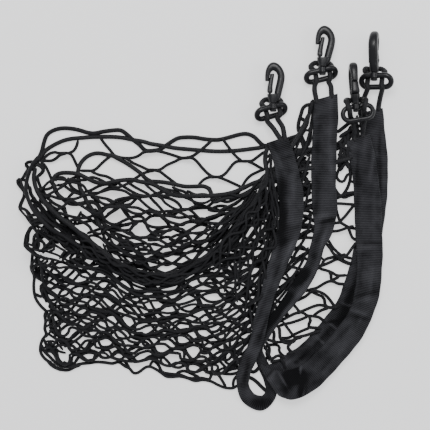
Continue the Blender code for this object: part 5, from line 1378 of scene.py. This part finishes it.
def make_sleeve(name, table, material):
    """A flat tube of webbing through the table's sections, stitched along both sides and creased."""
    rows = smooth_rows(table, SLEEVE_STEPS)
    centres = rows[:, :3]
    run = run_lengths(centres)
    rng = np.random.default_rng(len(table))
    calm = np.clip(np.minimum(run, run[-1] - run) / CALM_END, 0, 1)
    rows[:, 3] += calm * sum(size * np.sin(run / pitch + rng.uniform(0, 6)) for size, pitch in WIDTH_WAVES)
    tangents = directions(centres)
    angle, tilt = np.radians(rows[:, 5]), np.radians(rows[:, 6])
    wide = np.column_stack([np.cos(angle) * np.cos(tilt), np.sin(angle) * np.cos(tilt), np.sin(tilt)])
    up = np.cross(tangents, wide)
    up /= np.linalg.norm(up, axis=1, keepdims=True)
    turn = 1 if np.dot(np.cross(wide[0], up[0]), tangents[0]) > 0 else -1
    outline = rounded_section(SLEEVE_SIDES, SLEEVE_POWER)
    puff = 1
    for share, pitch in THICKNESS_WAVES:
        puff = puff + share * np.sin(run / pitch + rng.uniform(0, 6))
    half_width, half_thick = rows[:, 3][:, None] / 2, rows[:, 4][:, None] / 2
    a = outline[:, 0][None, :] * rows[:, 3][:, None] / 2
    b = outline[:, 1][None, :] * (rows[:, 4] * puff)[:, None] / 2
    groove = STITCH_DEPTH * np.exp(-((np.abs(a) - half_width + STITCH_INSET) / STITCH_WIDTH) ** 2)
    b = b - np.sign(b) * np.minimum(groove, np.abs(b) * 0.5)
    rings = centres[:, None, :] + turn * a[:, :, None] * wide[:, None, :] + b[:, :, None] * up[:, None, :]
    face = (np.clip(np.abs(b) / half_thick * 1.6 - 0.6, 0, 1) * np.clip((half_width - np.abs(a)) / 2.0, 0, 1)
            * calm[:, None])
    fold = creases(rings[:, :, :2], run / run[-1], name, rng)
    lift = np.clip(fold, *FOLD_LIMITS) * face
    rings = rings + lift[:, :, None] * up[:, None, :] * np.sign(up[:, None, 2:3])
    rings[:, :, 2] = np.maximum(rings[:, :, 2], FLOOR_CLEAR)
    start, end = [turned_in(centres[k], way * tangents[k], turn * a[k], b[k], wide[k], up[k])
                  for k, way in ((0, 1), (-1, -1))]
    mouth_run = np.array([row[2] for row in MOUTH])
    around = run_lengths(np.vstack([outline, outline[:1]]) * [rows[:, 3].mean() / 2, rows[:, 4].mean() / 2])
    shape = Shape()
    shape.grid(np.concatenate([start[::-1], rings, end]), around,
               np.concatenate([run[0] - mouth_run[::-1], run, run[-1] + mouth_run]))
    obj = shape.build(name, material, sharp=WEBBING_SHARP)
    # The fold heights go unclipped to the material, where they paint shade into the troughs and lighten the
    # ridges
    mark_fold_shade(obj, np.pad(fold, ((len(MOUTH), len(MOUTH)), (0, 0)), mode="edge"))
    return obj


def mark_fold_shade(obj, fold):
    """Keep the height of the folds with the vertices, for the material's painted shade in the troughs and
    lighter ridges.
    """
    values = np.zeros(len(obj.data.vertices), dtype=np.float32)
    values[:fold.size] = fold.ravel()
    obj.data.attributes.new("fold", "FLOAT", "POINT").data.foreach_set("value", values)


# ---------------------------------------------------------------- swivel snap hooks

class HookFrame:
    """Directions and placing for one hook set."""

    def __init__(self, row, eye_size):
        self.eye_height, self.eye_bar = eye_size
        x, y, z, lean, hook_roll, self.eye_shift, eye_tilt, eye_roll, eye_pitch = row
        self.pivot = np.array([x, y, z], dtype=float)
        self.axis = self.turned(90 - lean)
        self.side = self.turned(-lean)
        self.up = np.array([0.0, 0.0, 1.0])
        self.hook_side, self.hook_up = self.rolled(self.side, hook_roll)
        self.eye_side, eye_up = self.rolled(self.turned(eye_tilt), eye_roll)
        eye_along = self.turned(90 + eye_tilt)
        pitch = math.radians(eye_pitch)
        self.eye_along = math.cos(pitch) * eye_along + math.sin(pitch) * eye_up
        self.eye_up = math.cos(pitch) * eye_up - math.sin(pitch) * eye_along
        self.eye_centre = self.pivot - self.eye_height * self.eye_along + self.eye_shift * self.eye_side

    @staticmethod
    def turned(degrees):
        return np.array([math.cos(math.radians(degrees)), math.sin(math.radians(degrees)), 0.0])

    def rolled(self, side, degrees):
        """A level direction and the vertical, both turned about the direction square to them."""
        roll = math.radians(degrees)
        return (math.cos(roll) * side - math.sin(roll) * self.up,
                math.sin(roll) * side + math.cos(roll) * self.up)

    def hook_point(self, side, along, up=0.0):
        return self.pivot + side * self.hook_side + along * self.axis + up * self.hook_up

    def neck_point(self, side, along, up):
        return self.pivot + side * self.side + along * self.axis + up * self.up

    def eye_point(self, side, along, up):
        return self.eye_centre + side * self.eye_side + along * self.eye_along + up * self.eye_up


def bar_sections(hook, rows):
    """Sections of a bar in the hook's own plane, square to it; the first one lies square to the axis."""
    tangents = np.gradient(rows[:, :2], axis=0)
    tangents[0] = (0.0, 1.0)
    out = []
    for (side, along, width, depth), tangent in zip(rows, tangents):
        ts, ta = unit(tangent)
        across = ta * hook.hook_side - ts * hook.axis
        out.append((hook.hook_point(side, along), across, hook.hook_up, (width, depth)))
    return out


def make_hook(name, hook, material):
    """Neck pin, base, spine, crown and nose as one bar of changing section."""
    parts = [(hook.hook_point(side, along), hook.hook_side, hook.hook_up, (width, depth))
             for side, along, width, depth in HOOK_STEM[:-1]]
    parts += bar_sections(hook, smooth_rows(HOOK_BAR, HOOK_STEPS))
    side, along, width, depth = HOOK_BAR[-1]
    for back, scale in NOSE_END:
        parts.append((hook.hook_point(side, along - back), -hook.hook_side, hook.hook_up,
                      (width * scale, depth * scale)))
    shape = Shape()
    loft(shape, parts, HOOK_SIDES, BAR_POWER, RIDGE)
    return shape.build(name, material, sharp=PLASTIC_SHARP)


def make_gate(name, hook, material):
    """Sprung gate: half-round root on its pivot pin, tapering to a tip inside the nose."""
    side, along, width, depth = GATE_BAR[0]
    parts = []
    for degrees in GATE_ROOT_TURNS:
        angle = math.radians(degrees)
        place = hook.hook_point(side, along + width / 2 * math.sin(angle))
        parts.append((place, hook.hook_side, hook.hook_up, (width * math.cos(angle), depth)))
    parts += bar_sections(hook, smooth_rows(GATE_BAR, GATE_STEPS))
    tip_side, tip_along, tip_width, tip_depth = GATE_BAR[-1]
    for on, width_share, depth_share in GATE_END:
        parts.append((hook.hook_point(tip_side, tip_along + on), hook.hook_side, hook.hook_up,
                      (tip_width * width_share, tip_depth * depth_share)))
    shape = Shape()
    loft(shape, parts, GATE_SIDES, BAR_POWER)
    for face in (-1, 1):
        angles = 2 * np.pi * np.arange(GATE_PIN_SIDES) / GATE_PIN_SIDES * face
        rings = [[hook.hook_point(side + radius * math.cos(t), along + radius * math.sin(t),
                                  face * (depth / 2 + height)) for t in angles]
                 for height, radius in GATE_PIN]
        shape.grid(np.array(rings), np.linspace(0, 10, GATE_PIN_SIDES + 1), np.arange(float(len(GATE_PIN))))
    return shape.build(name, material, sharp=PLASTIC_SHARP)


def make_eye(name, hook, material):
    """D-eye: a long ring of round bar with a bored boss on its upper bar for the hook's neck pin."""
    bend = hook.eye_height
    straight = EYE_HALF_LENGTH - bend
    bar = (2 * hook.eye_bar, 2 * hook.eye_bar)
    parts = []
    for centre_side, start in ((straight, -90), (-straight, 90)):
        for k in range(EYE_BEND_STEPS + 1):
            angle = math.radians(start + 180 * k / EYE_BEND_STEPS)
            c, s = math.cos(angle), math.sin(angle)
            parts.append((hook.eye_point(centre_side + bend * c, bend * s, 0.0),
                          c * hook.eye_side + s * hook.eye_along, -hook.eye_up, bar))

    def on_lower_bar(place):
        return np.dot(place - hook.pivot, hook.eye_along) < LOWER_BAR

    # The ring is open at the boss: it starts on one side of the bore and stops on the other
    ring = [part for part in parts if on_lower_bar(part[0])
            or np.linalg.norm(np.cross(part[0] - hook.pivot, hook.axis)) > BORE_RADIUS + RING_CLEAR]
    first = next(k for k in range(len(ring)) if not on_lower_bar(ring[k][0])
                 and np.linalg.norm(ring[k][0] - ring[k - 1][0]) > RING_JUMP)
    ring = ring[first:] + ring[:first]
    ends = []
    for place, across, rising, size in (ring[0], ring[-1]):
        hand = 1 if np.dot(place - hook.pivot, hook.eye_side) > 0 else -1
        ends.append((hook.pivot + hand * (BORE_RADIUS + RING_END) * hook.eye_side, across, rising, size))
    shape = Shape()
    loft(shape, [ends[0]] + ring + [ends[1]], EYE_SIDES, EYE_POWER)
    upper_half = [(BOSS_RADIUS, BOSS_HALF - BOSS_EDGE), (BOSS_RADIUS - BOSS_EDGE, BOSS_HALF),
                  (BORE_RADIUS + BORE_EDGE, BOSS_HALF), (BORE_RADIUS, BOSS_HALF - BORE_EDGE)]
    profile = [(radius, -along) for radius, along in upper_half[::-1]] + upper_half
    angles = 2 * np.pi * np.arange(BOSS_SIDES) / BOSS_SIDES
    rings = np.array([[hook.neck_point(radius * math.cos(t), along, -radius * math.sin(t)) for t in angles]
                      for radius, along in profile])
    shape.grid(rings, np.linspace(0, 32, BOSS_SIDES + 1), np.arange(float(len(profile))), closed=True)
    return shape.build(name, material, sharp=PLASTIC_SHARP)


def leg_route(hook, start, way, bar_side, bulge, over, hand):
    """Route of one leg of a cord loop, from inside its sleeve to behind the hook's neck."""
    start, way = np.array(start, dtype=float), np.array(way, dtype=float)
    lift = over * CORD_LIFT
    beside_pin = hand * HITCH_SIDE - hook.eye_shift
    upper_side = (hand * HITCH_TOP_SIDE + bulge[0]) / 2
    behind = [HITCH_LOW, HITCH_BEHIND] if over < 0 else [HITCH_BEHIND]
    return [
        start + LOOP_TAIL * unit(start - way) * [1, 1, 0],
        start,
        way,
        hook.eye_point(bar_side, -hook.eye_height, lift),
        hook.eye_point((bar_side + 2 * beside_pin) / 3, -HITCH_ALONG, HITCH_LIFT * lift),
        hook.eye_point(beside_pin, HITCH_ALONG, -HITCH_LIFT * lift),
        hook.pivot + upper_side * hook.eye_side - lift * hook.eye_up,
        hook.neck_point(*bulge),
    ] + [hook.neck_point(hand * side, along, up) for side, along, up in behind]


def loop_route(hook, row):
    """Route of a cord loop: up from the sleeve, through the eye, and behind the hook's neck."""
    over, left_leg, right_leg = row
    left = leg_route(hook, *left_leg, over, -1)
    right = leg_route(hook, *right_leg, over, 1)
    return left + [hook.neck_point(*HITCH_MIDDLE)] + right[::-1]


# ---------------------------------------------------------------- materials

class Nodes:
    """Small helper to wire one procedural material."""

    def __init__(self, name):
        self.material = bpy.data.materials.new(name)
        self.material.use_nodes = True
        self.tree = self.material.node_tree
        self.shader = self.tree.nodes["Principled BSDF"]

    def add(self, kind, **settings):
        node = self.tree.nodes.new(kind)
        for key, value in settings.items():
            setattr(node, key, value)
        return node

    def link(self, source, target):
        self.tree.links.new(source, target)

    def math(self, operation, a, b=None, c=None):
        node = self.add("ShaderNodeMath", operation=operation)
        for slot, value in zip(node.inputs, (a, b, c)):
            if value is None:
                continue
            if isinstance(value, (int, float)):
                slot.default_value = value
            else:
                self.link(value, slot)
        return node.outputs[0]

    def run(self):
        """Across and along coordinates of the surface, in millimetres."""
        uv = self.add("ShaderNodeUVMap", uv_map="run")
        split = self.add("ShaderNodeSeparateXYZ")
        self.link(uv.outputs["UV"], split.inputs[0])
        return split.outputs[0], split.outputs[1]

    def noise(self, scale, detail):
        coord = self.add("ShaderNodeTexCoord")
        node = self.add("ShaderNodeTexNoise")
        node.inputs["Scale"].default_value = scale
        node.inputs["Detail"].default_value = detail
        self.link(coord.outputs["Object"], node.inputs["Vector"])
        return node.outputs["Fac"]

    def colour(self, value, dark, light):
        """Base colour from dark to light as the value goes from 0 to 1."""
        node = self.add("ShaderNodeMix", data_type="RGBA")
        self.link(value, node.inputs["Factor"])
        node.inputs[6].default_value = (*dark, 1.0)
        node.inputs[7].default_value = (*light, 1.0)
        self.link(node.outputs[2], self.shader.inputs["Base Color"])

    def bump(self, height, distance, strength):
        node = self.add("ShaderNodeBump")
        node.inputs["Strength"].default_value = strength
        node.inputs["Distance"].default_value = distance
        self.link(height, node.inputs["Height"])
        self.link(node.outputs["Normal"], self.shader.inputs["Normal"])

    def roughness(self, value, low, high):
        """Roughness from low to high as the value goes from 0 to 1."""
        node = self.add("ShaderNodeMapRange")
        self.link(value, node.inputs["Value"])
        node.inputs["To Min"].default_value = low
        node.inputs["To Max"].default_value = high
        self.link(node.outputs["Result"], self.shader.inputs["Roughness"])

    def shade(self, settings):
        """Plain values of the shader, and the finished material."""
        for key, value in settings.items():
            self.shader.inputs[key].default_value = value
        return self.material


def braid_material(name, around, pitch, dark, light, roughness, sheen):
    """Braided or knitted yarn: two sets of slanting yarns that cross, with a loose, fibrous face."""
    nodes = Nodes(name)
    across, along = nodes.run()
    turn = nodes.math("MULTIPLY", across, 2 * math.pi / around)
    step = nodes.math("MULTIPLY", along, 2 * math.pi / pitch)
    left = nodes.math("SINE", nodes.math("ADD", step, turn))
    right = nodes.math("SINE", nodes.math("SUBTRACT", step, turn))
    yarn = nodes.math("MAXIMUM", left, right)
    fibre = nodes.noise(2600.0, 3.0)
    shade = nodes.math("MULTIPLY_ADD", yarn, 0.35, nodes.math("MULTIPLY", nodes.noise(120.0, 2.0), 0.8))
    nodes.colour(shade, dark, light)
    nodes.bump(nodes.math("ADD", nodes.math("MULTIPLY", yarn, 0.5), fibre), 0.00022, 0.8)
    nodes.roughness(fibre, roughness - 0.08, roughness + 0.1)
    return nodes.shade({"Sheen Weight": sheen, "Sheen Roughness": 0.5, "Specular IOR Level": 0.35})


def webbing_material(name, dark, light):
    """Ribbed webbing: ribs straight across, finely woven along, mottled at random and slightly fuzzy, with
    painted shade in the troughs of its folds and lighter ridges.
    """
    nodes = Nodes(name)
    across, along = nodes.run()
    rib = nodes.math("SINE", nodes.math("MULTIPLY", along, 2 * math.pi / RIB_PITCH))
    yarn = nodes.math("SINE", nodes.math("MULTIPLY", across, 2 * math.pi / YARN_PITCH))
    weave = nodes.math("MULTIPLY", rib, nodes.math("MULTIPLY_ADD", yarn, 0.18, 0.82))
    fibre = nodes.noise(2200.0, 4.0)
    wear = nodes.math("ADD", nodes.math("MULTIPLY_ADD", nodes.noise(75.0, 4.0), 2.2, -1.1),
                      nodes.math("MULTIPLY_ADD", nodes.noise(28.0, 2.0), 1.6, -0.8))
    fold = nodes.add("ShaderNodeAttribute", attribute_name="fold").outputs["Fac"]
    tone = nodes.math("MULTIPLY_ADD", weave, 0.22, 0.38)
    shade = nodes.math("ADD", tone, nodes.math("MULTIPLY", wear, 0.38))
    # Painted shade: the fold height, not clipped as the shape is, darkens the troughs of folds and
    # turned-down flaps past what their shape shades, and lightens the ridges
    nodes.colour(nodes.math("MULTIPLY_ADD", fold, 0.38, shade), dark, light)
    height = nodes.math("ADD", nodes.math("MULTIPLY", weave, 0.8), nodes.math("MULTIPLY", fibre, 0.5))
    nodes.bump(height, 0.00035, 0.9)
    nodes.roughness(fibre, 0.62, 0.85)
    return nodes.shade({"Sheen Weight": 0.03, "Sheen Roughness": 0.45, "Specular IOR Level": 0.18})


def plastic_material(name, dark, light):
    """Moulded plastic: satin with a faint grain, small ripples and scuffs."""
    nodes = Nodes(name)
    grain, wear = nodes.noise(900.0, 5.0), nodes.noise(70.0, 4.0)
    nodes.colour(wear, dark, light)
    nodes.bump(nodes.math("ADD", nodes.math("MULTIPLY", grain, 0.35), wear), 0.00016, 0.5)
    nodes.roughness(nodes.noise(160.0, 5.0), 0.24, 0.44)
    return nodes.shade({"Specular IOR Level": 0.42})


def floor_material():
    """Pale card that glows a little, so that it stays pale under soft light."""
    nodes = Nodes("floor_card")
    nodes.colour(nodes.noise(25.0, 2.0), (0.86, 0.86, 0.87), (0.88, 0.88, 0.885))
    return nodes.shade({"Roughness": 0.9, "Emission Color": (1.0, 1.0, 1.0, 1.0),
                        "Emission Strength": FLOOR_GLOW})


# ---------------------------------------------------------------- setting

def link(name, data, place):
    """A new object of that data in the scene, at a place in metres."""
    obj = bpy.data.objects.new(name, data)
    bpy.context.scene.collection.objects.link(obj)
    obj.location = place
    return obj


def area_light(name, size, power, place):
    """A rectangular light that shines at the frame's origin."""
    data = bpy.data.lights.new(name, "AREA")
    data.shape = "RECTANGLE"
    data.size, data.size_y = size
    data.energy = power
    light = link(name, data, place)
    back = unit(place)
    right = unit(np.cross([0.0, 1.0, 0.0], back))
    light.rotation_mode = "QUATERNION"
    light.rotation_quaternion = Matrix((right, np.cross(back, right), back)).transposed().to_quaternion()


def set_stage():
    """Floor, lights, sky and a camera straight above."""
    bpy.ops.mesh.primitive_plane_add(size=FLOOR_SIZE, location=(0.0, 0.0, 0.0))
    floor = bpy.context.object
    floor.name = "floor"
    floor.data.materials.append(floor_material())
    for row in LIGHTS:
        area_light(*row)
    world = bpy.data.worlds.new("studio")
    bpy.context.scene.world = world
    world.use_nodes = True
    background = world.node_tree.nodes["Background"]
    background.inputs["Color"].default_value = SKY_COLOUR
    background.inputs["Strength"].default_value = SKY_STRENGTH
    data = bpy.data.cameras.new("camera")
    data.lens = CAMERA_LENS
    data.sensor_width = CAMERA_SENSOR
    bpy.context.scene.camera = link("camera", data, np.array(CAMERA_PLACE) - FOOTPRINT_MIDDLE * MM)


# ---------------------------------------------------------------- build

def add_cord(name, points, radius, sides, node, material):
    """One cord of the object, a tube along its route."""
    shape = Shape()
    shape.tube(points, radius, sides)
    obj = shape.build(name, material)
    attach(obj, "net_body")
    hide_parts(node)


def add_net(yarn, braid):
    """The mesh and its two rim cords, each from its front edge round the left fold to its rear one."""
    shape, rims = make_net()
    net = shape.build("net_strands", yarn)
    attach(net, "net_body")
    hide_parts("net")
    half_area = shape.area() / 2
    for name, front, rear in (("outer", rims["outer"], rims["elastic"]),
                              ("inner", rims["inner_front"][::-1], rims["inner_rear"])):
        points = np.vstack([front, fold_arc(front[-1], rear[0], 0.0), rear])
        add_cord("rim_cord_" + name, points, RIM_RADIUS, RIM_SIDES, "rim_" + name, braid)


def add_sleeve(letter, table, material):
    """One webbing sleeve through its sections."""
    obj = make_sleeve("sleeve_" + letter, table, material)
    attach(obj, "net_body")
    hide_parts("webbing_" + letter)


def add_hook_set(number, plastic, braid):
    """One eye, hook and gate, and the cord loop that holds them."""
    hook = HookFrame(HOOKS[number - 1], EYE_SIZES[number - 1])
    for make, part, body in ((make_eye, "eye", "net_body"), (make_hook, "hook", "hook_body_%d" % number),
                             (make_gate, "gate", "gate_body_%d" % number)):
        obj = make("%s_shell_%d" % (part, number), hook, plastic)
        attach(obj, body)
        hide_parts("%s_%d" % (part, number))
    points = even_curve(loop_route(hook, LOOPS[number - 1]), LOOP_STEP)
    add_cord("loop_cord_%d" % number, points, LOOP_RADIUS, LOOP_SIDES, "loop_%d" % number, braid)


def build():
    """The whole object and its setting."""
    yarn = braid_material("yarn", 1.4, 3.2, (0.0045, 0.0045, 0.006), (0.014, 0.014, 0.017), 0.7, 0.02)
    braid = braid_material("braid", 2.9, 3.6, (0.005, 0.005, 0.0065), (0.018, 0.018, 0.021), 0.62, 0.03)
    webbing = webbing_material("ribbed_webbing", (0.0025, 0.0025, 0.0035), (0.082, 0.082, 0.092))
    plastic = plastic_material("moulded_plastic", (0.006, 0.006, 0.0075), (0.014, 0.014, 0.017))
    add_net(yarn, braid)
    add_sleeve("a", SLEEVE_A, webbing)
    add_sleeve("b", SLEEVE_B, webbing)
    for number in range(1, len(HOOKS) + 1):
        add_hook_set(number, plastic, braid)
    set_stage()


build()
